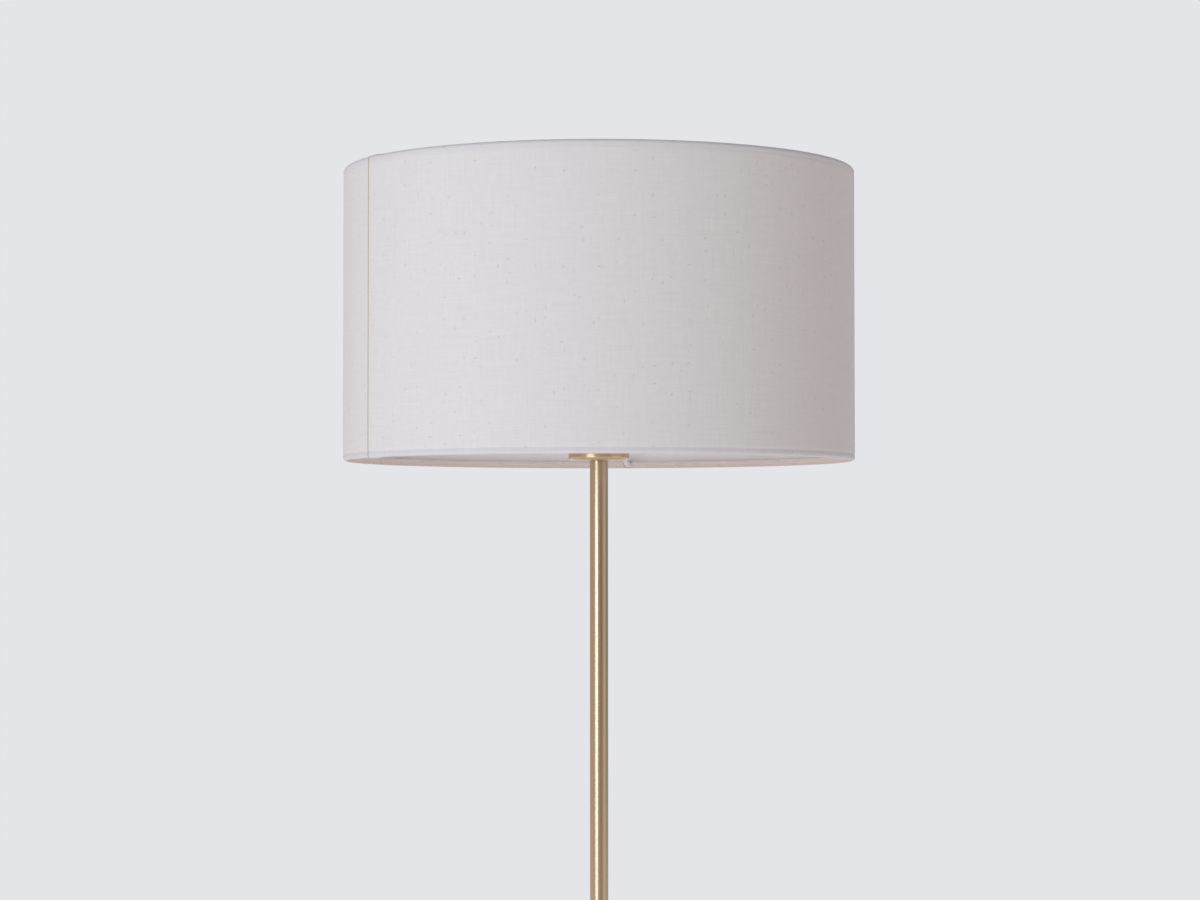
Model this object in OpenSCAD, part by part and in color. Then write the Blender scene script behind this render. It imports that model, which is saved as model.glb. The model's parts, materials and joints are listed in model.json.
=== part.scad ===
// Column floor lamp: a weighted round base, a three-piece brass column, a lampholder in a
// shallow brass cup, a bulb, and a drum shade on a three-armed spider.
// Millimetres. Origin: centre of the base, on the floor. +Z is up and the front faces -Y.

/* [Base] */
// Outer diameter of the pressed base cover
base_d = 280; // [230:5:340]
// Height of the base cover's top above the floor
base_h = 20; // [19:0.5:30]
// Sheet thickness of the base cover
cover_t = 1; // [0.6:0.1:1.5]
// Radius of the cover's rolled top edge
cover_edge_r = 4; // [2:0.5:5]
// Gap between the floor and the cover's lower edge
cover_lift = 1.2; // [0.5:0.1:2]
// Gap between the iron weight and the cover's wall
weight_gap = 0.5; // [0.3:0.1:1]
// Thickness of the felt pad under the weight
pad_t = 2.5; // [2.2:0.1:4]
// Distance from the weight's rim to the pad's rim
pad_inset = 5; // [2:1:20]
// Diameter of the wiring recess in the weight's underside
recess_d = 92; // [86:1:120]
// Thickness of iron left above the recess
recess_roof = 3.5; // [3:0.1:5]
// Lap of the recess plate on the weight around the recess
plate_lap = 10; // [8:0.5:14]
// Thickness of the recess plate
plate_t = 1.2; // [1:0.1:2]
// Number of screws in the recess plate
plate_screws = 3; // [3:1:6]
// Length of a recess plate screw below its head
plate_screw_l = 8; // [6:0.5:12]

/* [Cord inlet] */
// Bore of the grommet that the mains cord goes through
inlet_bore_d = 6.6; // [5:0.1:8]
// Diameter of the grommet's neck in the cover's hole
grommet_neck_d = 10; // [9:0.5:11]
// Diameter of the grommet's two flanges
grommet_flange_d = 12.6; // [11.6:0.1:13]
// Thickness of each grommet flange
grommet_flange_t = 2; // [1.2:0.1:3]
// Width of the wiring channel from the recess to the inlet
channel_w = 15; // [14:0.5:24]

/* [Column] */
// Outer diameter of the brass tube
tube_d = 16; // [15:0.5:20]
// Wall of the brass tube
tube_wall = 1; // [0.8:0.1:1.3]
// Length of each of the three tubes
tube_l = 425; // [300:5:500]
// Length of the threaded bush in each tube end
bush_l = 15; // [13:0.5:25]
// Outer diameter of the column's hollow threaded rod
rod_d = 10; // [9.5:0.1:10.5]
// Bore of the hollow threaded rod
rod_bore_d = 7.5; // [6.8:0.1:7.8]
// Length of rod that is screwed into a bush
rod_grip = 12; // [8:0.5:12.5]
// Distance across the flats of the rod's nuts
nut_flats = 14; // [13:0.5:17]
// Height of the nut under the base's recess roof
base_nut_h = 4; // [3:0.1:5]
// Thickness of the washer over that nut
washer_t = 1.2; // [0.8:0.1:1.6]
// Diameter of that washer
washer_d = 26; // [20:1:32]

/* [Wiring] */
// Outer diameter of the flex's sheath
flex_d = 5.4; // [5.1:0.1:6]
// Wall of the flex's sheath
flex_wall = 0.35; // [0.2:0.05:0.4]
// Diameter of each insulated core
core_d = 2.2; // [1.8:0.1:2.25]
// Width of the terminal block
block_w = 19; // [17:0.5:24]
// Depth of the terminal block, along its wire holes
block_l = 16; // [14:0.5:22]
// Height of the terminal block
block_h = 9.5; // [8.5:0.1:9.8]
// Distance from the column's axis to the terminal block
block_y = 17; // [15:0.5:20]
// Distance between the block's two wire holes
block_pitch = 10; // [9:0.5:11]

/* [Lampholder] */
// Outer diameter of the brass cup under the holder
cup_d = 54; // [50:1:70]
// Height of the brass cup
cup_h = 12; // [8:0.5:16]
// Wall of the brass cup
cup_wall = 1; // [0.6:0.1:1.5]
// Radius of the cup's lower edge
cup_edge_r = 3.5; // [2:0.5:5]
// Height of the nut in the cup
cup_nut_h = 3; // [2.5:0.1:4]
// Outer diameter of the holder's cap
cap_d = 37; // [35:0.5:39]
// Wall of the holder's cap
cap_wall = 2; // [1.5:0.1:2.4]
// Height of the threaded boss under the cap
boss_h = 8; // [6:0.5:10]
// Height of the whole cap, with its boss
cap_h = 25; // [22:0.5:30]
// Outer diameter of the skirt's thread
skirt_d = 39.4; // [38.8:0.1:40]
// Outer diameter of the skirt's shoulder
shoulder_d = 44; // [42:0.5:48]
// Height of the shoulder that grips the cap
shoulder_h = 15; // [10:0.5:18]
// Height of the skirt above its shoulder
skirt_h = 31; // [28:0.5:36]
// Height of the ceramic insert
insert_h = 11; // [9:0.5:13]
// Inner diameter of the screw shell that takes the bulb
shell_bore_d = 26.7; // [26.5:0.1:27]
// Wall of the screw shell
shell_wall = 0.45; // [0.3:0.05:0.6]
// Height of the screw shell
shell_h = 22; // [18:0.5:26]
// Outer diameter of the shade ring
ring_d = 57; // [52:1:64]
// Height of the shade ring
ring_h = 10; // [6:0.5:14]

/* [Bulb] */
// Largest diameter of the glass globe
globe_d = 60; // [50:1:80]
// Length of the whole bulb
bulb_l = 105; // [95:1:130]
// Thickness of the glass
glass_t = 0.7; // [0.5:0.1:1]
// Crest diameter of the bulb's screw cap
screw_cap_d = 26.2; // [26:0.05:26.3]
// Height of one turn of the bulb's thread
thread_pitch = 3.629; // [3.5:0.001:3.7]
// Turns of the bulb's thread that the screw shell takes
thread_turns = 4; // [3:0.5:4]
// Length of each filament stick
filament_l = 38; // [30:1:42]

/* [Shade] */
// Outer diameter of the drum
shade_d = 450; // [360:5:560]
// Height of the drum
shade_h = 256; // [200:2:340]
// Thickness of the shade's cloth
cloth_t = 0.6; // [0.4:0.05:1]
// Thickness of the stiff white liner
liner_t = 0.5; // [0.4:0.05:0.8]
// Diameter of the wire in the two shade rings
hoop_wire_d = 4; // [3:0.1:5]
// Height of the cloth's edge that is tucked up inside each ring
tuck_h = 3; // [2:0.5:8]
// Width of the overlap where the cloth's ends meet
lap_w = 14; // [8:1:24]
// Direction of the overlap's outer edge, degrees from +X
seam_angle = 209.8; // [195:0.1:220]
// Height of the cup's underside above the shade's lower edge
cup_rise = 0.5; // [0:0.1:4]
// Thickness of the spider's centre plate
spider_t = 1.2; // [1:0.1:2]
// Outer diameter of the spider's centre plate
spider_d = 54; // [52:1:60]
// Diameter of the wire in the spider's arms
arm_d = 4; // [3:0.1:5]
// Direction of the rear arm, degrees from +X
rear_arm_angle = 83; // [80:1:100]
// Height of the arms' outer ends above the middle of the lower ring
arm_end_rise = 1.5; // [0:0.1:3]

/* [Clearances] */
// Radial gap between a thread and its nut, or a tube and its bush
fit_gap = 0.05; // [0.02:0.01:0.08]
// Radial gap around screws, cores and wires that pass through a hole
hole_gap = 0.3; // [0.2:0.05:0.4]
// Gap between a glued or welded piece and what it is fixed to
glue_gap = 0.05; // [0.02:0.01:0.1]
// Radial running gap between the shade ring and the skirt's thread
ring_gap = 0.08; // [0.03:0.01:0.1]
// Radial gap between the spider's plate and the skirt
spider_gap = 0.4; // [0.3:0.05:1]
// Gap between the bulb's tip and the centre contact
tip_gap = 0.3; // [0.2:0.05:0.5]

/* [Hidden] */
$fn = 96;
eps = 0.5;                     // how far a cutter runs past the face that it cuts
thread_r = 1.5;                // M3 screws
screw_head_r = 2.75;
screw_head_h = 1.8;
slot_w = 0.8;
slot_depth = 0.8;

// Base heights
base_r = base_d / 2;
weight_r = base_r - cover_t - weight_gap;
weight_top = base_h - cover_t;
recess_r = recess_d / 2;
recess_top = weight_top - recess_roof;
plate_r = recess_r + plate_lap;
plate_screw_circle_r = recess_r + plate_lap / 2;
plate_top = pad_t + plate_t;
inlet_z = (cover_lift + base_h - cover_edge_r) / 2;
washer_z = recess_top - washer_t;
base_nut_z = washer_z - base_nut_h;
nipple_tail = 1;               // rod that shows below the base nut

// Column heights
tube_r = tube_d / 2;
tube_bore_r = tube_r - tube_wall;
rod_r = rod_d / 2;
rod_bore_r = rod_bore_d / 2;
tapped_r = rod_r + fit_gap;
lower_z = base_h;
middle_z = lower_z + tube_l;
upper_z = middle_z + tube_l;
column_top = upper_z + tube_l;

// Lampholder heights
cup_floor_z = column_top + cup_wall;
cap_z = cup_floor_z + cup_nut_h;
cap_r = cap_d / 2;
cap_top = cap_z + cap_h;
cup_nipple_top = cap_z + boss_h - 1;
boss_r = rod_r + 3;
cap_cone_h = 6;                // height over which the cap widens from its boss
insert_z = cap_top - 7;        // the ledge in the cap that carries the insert
insert_r = cap_r - cap_wall - 0.2;
ledge_w = 2;
insert_top = insert_z + insert_h;
skirt_r = skirt_d / 2;
skirt_wall = 2;
shoulder_top = cap_top + 3;
shoulder_z = shoulder_top - shoulder_h;
skirt_top = shoulder_top + skirt_h;
rib_h = 2;                     // rib in the skirt that holds the insert down
shell_r = shell_bore_d / 2;
flex_r = flex_d / 2;
flex_z = base_nut_z - nipple_tail;
flex_top = cup_nipple_top + 2;
core_r = core_d / 2;
core_x = core_r + 0.05;        // the two cores lie side by side
live_x = 5.2;                  // distance of the live terminal from the axis
neutral_x = 7.6;               // distance of the neutral terminal from the axis
terminal_r = 2.3;
terminal_bore_r = core_r + hole_gap;
tongue_t = 0.5;
tongue_w = 5;

// Bulb heights
bulb_z = insert_top + 5.2;
globe_r = globe_d / 2;
cap_crest_r = screw_cap_d / 2;
thread_depth = 0.85;
cap_metal_t = 0.45;
crimp_r = cap_crest_r - thread_depth - 0.8;
cap_foot = 4.5;                // heights above the bulb's tip
thread_foot = 6;
thread_end = thread_foot + (thread_turns + 0.5) * thread_pitch;
cap_rim = thread_end + 4;
neck_r = cap_crest_r - thread_depth - cap_metal_t - 0.2;
neck_foot = cap_rim - 9;
neck_top_r = cap_crest_r + 0.3;
globe_mid = bulb_l - globe_r;
globe_start_angle = -34;
filament_r = 0.9;
filament_foot_r = 9;           // distance of the sticks' lower ends from the axis
filament_head_r = 5;
filament_foot = 42;
lead_r = 0.35;
lead_x = filament_foot_r * cos(45);
stem_top = filament_foot + 12;

// Shade heights
shade_r = shade_d / 2;
shade_z = column_top - cup_rise;
shade_top = shade_z + shade_h;
hoop_r = hoop_wire_d / 2;
roll_r = hoop_r + glue_gap + cloth_t;
hoop_ring_r = shade_r - roll_r;
bottom_hoop_z = shade_z + roll_r;
top_hoop_z = shade_top - roll_r;
skin_z = shade_z + 2 * roll_r;             // the skins stop where the rolled edges start
skin_top = shade_top - 2 * roll_r;
liner_r = shade_r - cloth_t - glue_gap;
spider_r = spider_d / 2;
spider_bore_r = skirt_r + spider_gap;
arm_r = arm_d / 2;
arm_foot_r = shoulder_d / 2 + 1.5;
arm_end_r = hoop_ring_r - hoop_r - glue_gap;
arm_end_z = bottom_hoop_z + arm_end_rise;
arm_slope = atan2(shoulder_top - arm_r - arm_end_z, arm_end_r - arm_foot_r);
arm_foot_z = shoulder_top - glue_gap - arm_r * cos(arm_slope);
arm_angles = [rear_arm_angle, rear_arm_angle + 120, rear_arm_angle + 240];
ring_z = shoulder_top + spider_t;

// Points on a cubic curve, without its first point
function curve_points(p, steps) =
    [for (i = [1 : steps]) let (t = i / steps, s = 1 - t)
        p[0] * pow(s, 3) + 3 * p[1] * s * s * t + 3 * p[2] * s * t * t + p[3] * pow(t, 3)];

function reversed(list) = [for (i = [len(list) - 1 : -1 : 0]) list[i]];
function unit(v) = v / norm(v);

// A route with each inner corner eased over the given length on both sides
function eased_route(corners, ease, steps) = concat(
    [corners[0]],
    [for (i = [1 : len(corners) - 2])
        let (
            before = corners[i] + unit(corners[i - 1] - corners[i]) * ease,
            after = corners[i] + unit(corners[i + 1] - corners[i]) * ease)
        for (k = [0 : steps]) let (t = k / steps)
            before * (1 - t) * (1 - t) + corners[i] * 2 * t * (1 - t) + after * t * t],
    [corners[len(corners) - 1]]);

// A round wire along a route that stays near the YZ plane
module wire_along(route, r, sides) {
    last = len(route) - 1;
    ring_points = [for (i = [0 : last])
        let (
            ahead = route[min(i + 1, last)] - route[max(i - 1, 0)],
            side = unit(cross([1, 0, 0], ahead)),
            up = unit(cross(ahead, side)))
        for (k = [0 : sides - 1]) let (a = 360 * k / sides)
            route[i] + r * (cos(a) * side + sin(a) * up)];
    walls = [for (i = [0 : last - 1]) for (k = [0 : sides - 1])
        let (m = (k + 1) % sides, a = i * sides, b = (i + 1) * sides)
            for (half = [[a + k, b + k, b + m], [a + k, b + m, a + m]]) half];
    foot = [for (k = [1 : sides - 2]) [0, k, k + 1]];
    head = [for (k = [1 : sides - 2]) [last * sides, last * sides + k + 1, last * sides + k]];
    polyhedron(ring_points, concat(walls, foot, head));
}

// A straight round bar between two points
module bar(from, to, r) {
    along = to - from;
    translate(from)
        rotate([0, acos(along[2] / norm(along)), atan2(along[1], along[0])])
            cylinder(r = r, h = norm(along));
}

module pipe(r, bore_r, h) {
    difference() {
        cylinder(r = r, h = h);
        translate([0, 0, -eps])
            cylinder(r = bore_r, h = h + 2 * eps);
    }
}

module hex_nut(flats, h) {
    difference() {
        cylinder(d = flats / cos(30), h = h, $fn = 6);
        translate([0, 0, -eps])
            cylinder(r = tapped_r, h = h + 2 * eps);
    }
}

// A slotted screw: its head's outer face at z = 0, its shank towards +Z
module slotted_screw(head_r, head_h, shank_r, shank_l) {
    difference() {
        union() {
            cylinder(r = head_r, h = head_h);
            cylinder(r = shank_r, h = head_h + shank_l);
        }
        translate([-head_r - eps, -slot_w / 2, -eps])
            cube([2 * (head_r + eps), slot_w, slot_depth + eps]);
    }
}

// Half outline of a disc with its upper rim rounded
module rounded_disc_outline(r, h, edge) {
    square([r - edge, h]);
    square([r, h - edge]);
    translate([r - edge, h - edge])
        circle(r = edge);
}

module at_plate_screws() {
    for (i = [0 : plate_screws - 1])
        rotate([0, 0, 270 + 360 * i / plate_screws])
            translate([plate_screw_circle_r, 0, 0])
                children();
}

// ---- Base ----

module felt_pad() {
    color("dimgray")
        pipe(weight_r - pad_inset, plate_r + 1, pad_t);
}

module base_weight() {
    color("darkslategray")
        difference() {
            translate([0, 0, pad_t])
                cylinder(r = weight_r, h = weight_top - pad_t);
            // the rim is chamfered to clear the cover's rolled edge
            translate([0, 0, weight_top - cover_edge_r])
                difference() {
                    cylinder(r = base_r, h = cover_edge_r + eps);
                    cylinder(r1 = weight_r, r2 = weight_r - cover_edge_r, h = cover_edge_r);
                    translate([0, 0, cover_edge_r - eps / 10])
                        cylinder(r = weight_r - cover_edge_r, h = 2 * eps);
                }
            translate([0, 0, pad_t - eps])
                cylinder(r = recess_r, h = recess_top - pad_t + eps);
            translate([0, 0, pad_t - eps])
                cylinder(r = plate_r + hole_gap, h = plate_t + eps);
            translate([-channel_w / 2, 0, pad_t - eps])
                cube([channel_w, base_r, recess_top - pad_t + eps]);
            translate([0, 0, recess_top - eps])
                cylinder(r = rod_r + hole_gap, h = recess_roof + 2 * eps);
            at_plate_screws()
                translate([0, 0, plate_top - eps])
                    cylinder(r = thread_r + fit_gap, h = plate_screw_l - plate_t + 1 + eps);
            translate([0, block_y + block_l / 2, recess_top - eps])
                cylinder(r = thread_r + fit_gap, h = recess_roof - 0.5 + eps);
        }
}

module base_cover() {
    color("darkgoldenrod")
        difference() {
            translate([0, 0, cover_lift])
                rotate_extrude()
                    difference() {
                        rounded_disc_outline(base_r, base_h - cover_lift, cover_edge_r);
                        translate([0, -eps])
                            rounded_disc_outline(base_r - cover_t,
                                base_h - cover_lift - cover_t + eps, cover_edge_r - cover_t);
                        square([rod_r + hole_gap, base_h]);
                    }
            translate([0, base_r - 2 * cover_t - eps, inlet_z])
                rotate([-90, 0, 0])
                    cylinder(d = grommet_neck_d + 2 * fit_gap, h = 3 * cover_t + 2 * eps);
        }
}

module recess_plate() {
    color("silver")
        translate([0, 0, pad_t])
            difference() {
                cylinder(r = plate_r, h = plate_t);
                at_plate_screws()
                    translate([0, 0, -eps])
                        cylinder(r = thread_r + hole_gap, h = plate_t + 2 * eps);
            }
}

module recess_plate_screws() {
    color("gray")
        at_plate_screws()
            translate([0, 0, pad_t - screw_head_h])
                slotted_screw(screw_head_r, screw_head_h, thread_r, plate_screw_l);
}

// The inner flange lies behind the curved wall, by the wall's sagitta over the flange
module cord_grommet() {
    wall_r = base_r - cover_t;
    flange_r = grommet_flange_d / 2;
    sagitta = wall_r - sqrt(wall_r * wall_r - flange_r * flange_r);
    inner_y = wall_r - sagitta - glue_gap;
    color("dimgray")
        translate([0, 0, inlet_z])
            rotate([-90, 0, 0])
                difference() {
                    union() {
                        translate([0, 0, inner_y - grommet_flange_t])
                            cylinder(d = grommet_flange_d, h = grommet_flange_t);
                        translate([0, 0, inner_y - grommet_flange_t])
                            cylinder(d = grommet_neck_d,
                                h = base_r + 2 * grommet_flange_t - inner_y);
                        translate([0, 0, base_r])
                            cylinder(d = grommet_flange_d, h = grommet_flange_t);
                    }
                    translate([0, 0, inner_y - grommet_flange_t - eps])
                        cylinder(d = inlet_bore_d,
                            h = base_r + 3 * grommet_flange_t - inner_y + 2 * eps);
                }
}

module base_nipple() {
    color("goldenrod")
        translate([0, 0, flex_z])
            pipe(rod_r, rod_bore_r, lower_z + rod_grip - flex_z);
}

module base_washer() {
    color("silver")
        translate([0, 0, washer_z])
            pipe(washer_d / 2, rod_r + hole_gap, washer_t);
}

module base_nut() {
    color("silver")
        translate([0, 0, base_nut_z])
            hex_nut(nut_flats, base_nut_h);
}

// ---- Terminal block ----

block_z = recess_top - block_h;
wire_hole_z = block_z + 3.8;
sleeve_r = 2.6;
clamp_r = 1.25;
clamp_head_r = 1.9;
clamp_l = wire_hole_z - block_z - core_r;
clamp_inset = 4;

module at_wire_holes() {
    for (side = [-1, 1])
        translate([side * block_pitch / 2, block_y, wire_hole_z])
            rotate([-90, 0, 0])
                children();
}

module at_clamp_screws() {
    for (side = [-1, 1])
        for (y = [block_y + clamp_inset, block_y + block_l - clamp_inset])
            translate([side * block_pitch / 2, y, block_z])
                children();
}

module terminal_block() {
    block_mid_y = block_y + block_l / 2;
    color("white")
        difference() {
            translate([-block_w / 2, block_y, block_z])
                cube([block_w, block_l, block_h]);
            at_wire_holes()
                translate([0, 0, -eps])
                    cylinder(r = sleeve_r + fit_gap, h = block_l + 2 * eps);
            at_clamp_screws()
                translate([0, 0, -eps])
                    cylinder(r = clamp_head_r + fit_gap, h = wire_hole_z - block_z);
            translate([0, block_mid_y, block_z - eps])
                cylinder(r = thread_r + fit_gap, h = block_h + 2 * eps);
            translate([0, block_mid_y, block_z - eps])
                cylinder(r = screw_head_r - 0.6, h = screw_head_h + 2 * eps);
        }
}

module terminal_sleeves() {
    color("goldenrod")
        difference() {
            at_wire_holes()
                translate([0, 0, 1])
                    pipe(sleeve_r, core_r + hole_gap, block_l - 2);
            at_clamp_screws()
                translate([0, 0, -eps])
                    cylinder(r = clamp_r + fit_gap, h = wire_hole_z - block_z + eps);
        }
}

module terminal_screws() {
    color("silver")
        at_clamp_screws()
            cylinder(r = clamp_r, h = clamp_l - glue_gap);
}

module block_screw() {
    head_r = screw_head_r - 0.7;
    color("silver")
        translate([0, block_y + block_l / 2, block_z + 0.5])
            slotted_screw(head_r, screw_head_h, thread_r,
                block_h - 0.5 - screw_head_h + recess_roof - 1);
}

// ---- Column ----

module tube(z) {
    color("darkgoldenrod")
        translate([0, 0, z])
            pipe(tube_r, tube_bore_r, tube_l);
}

module bush(z) {
    color("goldenrod")
        translate([0, 0, z])
            pipe(tube_bore_r - fit_gap, tapped_r, bush_l);
}

module joiner(z) {
    color("silver")
        translate([0, 0, z - rod_grip])
            pipe(rod_r, rod_bore_r, 2 * rod_grip);
}

module lower_tube() { tube(lower_z); }
module middle_tube() { tube(middle_z); }
module upper_tube() { tube(upper_z); }
module lower_foot_bush() { bush(lower_z); }
module lower_top_bush() { bush(middle_z - bush_l); }
module middle_foot_bush() { bush(middle_z); }
module middle_top_bush() { bush(upper_z - bush_l); }
module upper_foot_bush() { bush(upper_z); }
module upper_top_bush() { bush(column_top - bush_l); }
module lower_joiner() { joiner(middle_z); }
module upper_joiner() { joiner(upper_z); }

// ---- Wiring inside the column ----

// Route of a core, in mm: from the terminal block, through the column, to the lampholder
core_ease = 1.4;               // length over which each corner of a core is eased
core_ease_steps = 3;
function core_route(side, terminal_x) = eased_route([
    [side * block_pitch / 2, block_y + block_l / 2 - 3, wire_hole_z],
    [side * block_pitch / 2, block_y - 4, wire_hole_z],
    [side * core_x, 4.5, plate_top + core_r + 0.4],
    [side * core_x, 0, flex_z - core_ease],
    [side * core_x, 0, flex_top + core_ease],
    [side * terminal_x, 0, insert_z - 1.5],
    [side * terminal_x, 0, insert_z + 5]
], core_ease, core_ease_steps);

module flex_sheath() {
    color("white")
        translate([0, 0, flex_z])
            pipe(flex_r, flex_r - flex_wall, flex_top - flex_z);
}

module live_core() {
    color("saddlebrown")
        wire_along(core_route(-1, live_x), core_r, 8);
}

module neutral_core() {
    color("steelblue")
        wire_along(core_route(1, neutral_x), core_r, 8);
}

// ---- Lampholder ----

module holder_cup() {
    color("darkgoldenrod")
        translate([0, 0, column_top + cup_h])
            mirror([0, 0, 1])
                rotate_extrude()
                    difference() {
                        rounded_disc_outline(cup_d / 2, cup_h, cup_edge_r);
                        translate([0, -eps])
                            rounded_disc_outline(cup_d / 2 - cup_wall,
                                cup_h - cup_wall + eps, cup_edge_r - cup_wall);
                        square([rod_r + hole_gap, cup_h + eps]);
                    }
}

module cup_nipple() {
    color("goldenrod")
        translate([0, 0, column_top - rod_grip])
            pipe(rod_r, rod_bore_r, cup_nipple_top - column_top + rod_grip);
}

module cup_nut() {
    color("silver")
        translate([0, 0, cup_floor_z])
            hex_nut(nut_flats, cup_nut_h);
}

grub_r = 1.5;
grub_z = cap_z + boss_h / 2 - 1;

module holder_cap() {
    wide_z = boss_h - 2 + cap_cone_h;
    color("whitesmoke")
        translate([0, 0, cap_z])
            difference() {
                rotate_extrude()
                    polygon([
                        [tapped_r, 0],
                        [boss_r, 0],
                        [boss_r, boss_h - 2],
                        [cap_r, wide_z],
                        [cap_r, cap_h],
                        [cap_r - cap_wall, cap_h],
                        [cap_r - cap_wall, insert_z - cap_z],
                        [cap_r - cap_wall - ledge_w, insert_z - cap_z],
                        [cap_r - cap_wall - ledge_w, wide_z + 1],
                        [rod_r + 1.5, boss_h],
                        [tapped_r, boss_h]
                    ]);
                translate([0, -rod_r, grub_z - cap_z])
                    rotate([90, 0, 0])
                        cylinder(r = grub_r + fit_gap, h = boss_r);
            }
}

module holder_grub_screw() {
    color("gray")
        translate([0, -boss_r + 0.2, grub_z])
            rotate([-90, 0, 0])
                difference() {
                    cylinder(r = grub_r, h = boss_r - 0.2 - rod_r - glue_gap);
                    translate([-grub_r - eps, -slot_w / 2, -eps])
                        cube([2 * (grub_r + eps), slot_w, slot_depth + eps]);
                }
}

module at_terminals() {
    for (x = [-live_x, neutral_x])
        translate([x, 0, insert_z])
            children();
}

terminal_screw_z = insert_z + 7.5;
terminal_screw_r = 1.2;

module at_terminal_screws() {
    for (place = [[-live_x, 180], [neutral_x, 0]])
        translate([place[0], 0, terminal_screw_z])
            rotate([0, 90, place[1]])
                children();
}

module holder_insert() {
    color("ivory")
        difference() {
            translate([0, 0, insert_z])
                cylinder(r = insert_r, h = insert_h);
            at_terminals()
                translate([0, 0, -eps])
                    cylinder(r = terminal_r + fit_gap, h = insert_h + 2 * eps);
            at_terminal_screws()
                cylinder(r = terminal_screw_r + hole_gap, h = insert_r + eps);
        }
}

module holder_terminals() {
    color("goldenrod")
        difference() {
            at_terminals()
                difference() {
                    cylinder(r = terminal_r, h = insert_h);
                    translate([0, 0, -eps])
                        cylinder(r = terminal_bore_r, h = insert_h - 2 + eps);
                }
            at_terminal_screws()
                translate([0, 0, terminal_bore_r / 2])
                    cylinder(r = terminal_screw_r + fit_gap, h = terminal_r + eps);
        }
}

module holder_terminal_screws() {
    color("silver")
        for (place = [[-live_x, 180, live_x], [neutral_x, 0, neutral_x]])
            translate([place[0], 0, terminal_screw_z])
                rotate([0, 90, place[1]])
                    translate([0, 0, core_r + glue_gap])
                        cylinder(r = terminal_screw_r, h = insert_r - place[2] - core_r - 1);
}

// A springy brass tongue: flat on the insert, then rising to the axis under the bulb's tip
module centre_contact() {
    foot = insert_top + glue_gap;
    head = bulb_z - tip_gap;
    color("goldenrod")
        rotate([90, 0, 0])
            translate([0, 0, -tongue_w / 2])
                linear_extrude(tongue_w)
                    polygon([
                        [-live_x - 2.2, foot],
                        [-live_x + 2.2, foot],
                        [1, head - tongue_t],
                        [3.2, head - tongue_t - 0.8],
                        [3.4, head - tongue_t],
                        [1, head],
                        [-0.6, head],
                        [-live_x + 1.8, foot + tongue_t],
                        [-live_x - 2.2, foot + tongue_t]
                    ]);
}

module screw_shell() {
    rim_r = neutral_x + 0.5;
    color("gold")
        translate([0, 0, insert_top])
            difference() {
                cylinder(r = shell_r + shell_wall, h = shell_h);
                translate([0, 0, shell_wall])
                    cylinder(r = shell_r, h = shell_h);
                translate([0, 0, -eps])
                    cylinder(r = rim_r, h = shell_wall + 2 * eps);
            }
}

module holder_skirt() {
    grip_ribs = 24;
    rib_r = shell_r + shell_wall + hole_gap;
    color("whitesmoke")
        difference() {
            union() {
                translate([0, 0, shoulder_z])
                    cylinder(r = shoulder_d / 2, h = shoulder_h);
                translate([0, 0, shoulder_top - eps])
                    cylinder(r = skirt_r, h = skirt_h + eps);
            }
            translate([0, 0, shoulder_z - eps])
                cylinder(r = cap_r + fit_gap, h = cap_top - shoulder_z + eps);
            translate([0, 0, cap_top - eps])
                cylinder(r = skirt_r - skirt_wall, h = insert_top - cap_top + eps);
            translate([0, 0, insert_top - eps])
                cylinder(r = rib_r, h = rib_h + 2 * eps);
            translate([0, 0, insert_top + rib_h])
                cylinder(r = skirt_r - skirt_wall, h = skirt_top);
            for (i = [0 : grip_ribs - 1])
                rotate([0, 0, 360 * i / grip_ribs])
                    translate([shoulder_d / 2 + 0.6, 0, shoulder_z - eps])
                        cylinder(r = 1.2, h = shoulder_h - 2 + eps);
        }
}

module shade_ring() {
    flange_h = 2.5;
    grip_notches = 24;
    grip_r = (ring_d / 2 + skirt_r) / 2;
    color("whitesmoke")
        translate([0, 0, ring_z])
            difference() {
                union() {
                    cylinder(r = ring_d / 2, h = flange_h);
                    cylinder(r = grip_r, h = ring_h);
                }
                translate([0, 0, -eps])
                    cylinder(r = skirt_r + ring_gap, h = ring_h + 2 * eps);
                for (i = [0 : grip_notches - 1])
                    rotate([0, 0, 360 * i / grip_notches])
                        translate([grip_r + 0.5, 0, flange_h])
                            cylinder(r = 1, h = ring_h);
            }
}

// ---- Bulb ----

// Half outline of the globe's glass, a given depth inside its outer face
function globe_line(depth) = concat(
    [[neck_r - depth, neck_foot], [neck_r - depth, cap_rim + 0.3 + depth]],
    [[neck_top_r - depth, cap_rim + 2.5 + depth / 2]],
    curve_points([
        [neck_top_r - depth, cap_rim + 2.5],
        [neck_top_r - depth, cap_rim + 15],
        [(globe_r - depth) * cos(globe_start_angle) - 7,
            globe_mid + (globe_r - depth) * sin(globe_start_angle) - 10],
        [(globe_r - depth) * cos(globe_start_angle),
            globe_mid + (globe_r - depth) * sin(globe_start_angle)]
    ], 10),
    [for (i = [1 : 19]) let (a = globe_start_angle + (90 - globe_start_angle) * i / 20)
        [(globe_r - depth) * cos(a), globe_mid + (globe_r - depth) * sin(a)]],
    [[0, globe_mid + globe_r - depth]]);

// Crest and root radii of the cap's rolled thread, six points to a turn
function thread_line(inset) =
    [for (h = [thread_foot : thread_pitch / 6 : thread_end])
        [cap_crest_r - inset
            - thread_depth * (1 + cos(360 * (h - thread_foot) / thread_pitch)) / 2, h]];

module bulb_tip() {
    color("silver")
        translate([0, 0, bulb_z])
            rotate_extrude()
                polygon([[0, 0], [3.4, 0], [4.4, 0.7], [4.4, 1.5], [0, 1.5]]);
}

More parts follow.
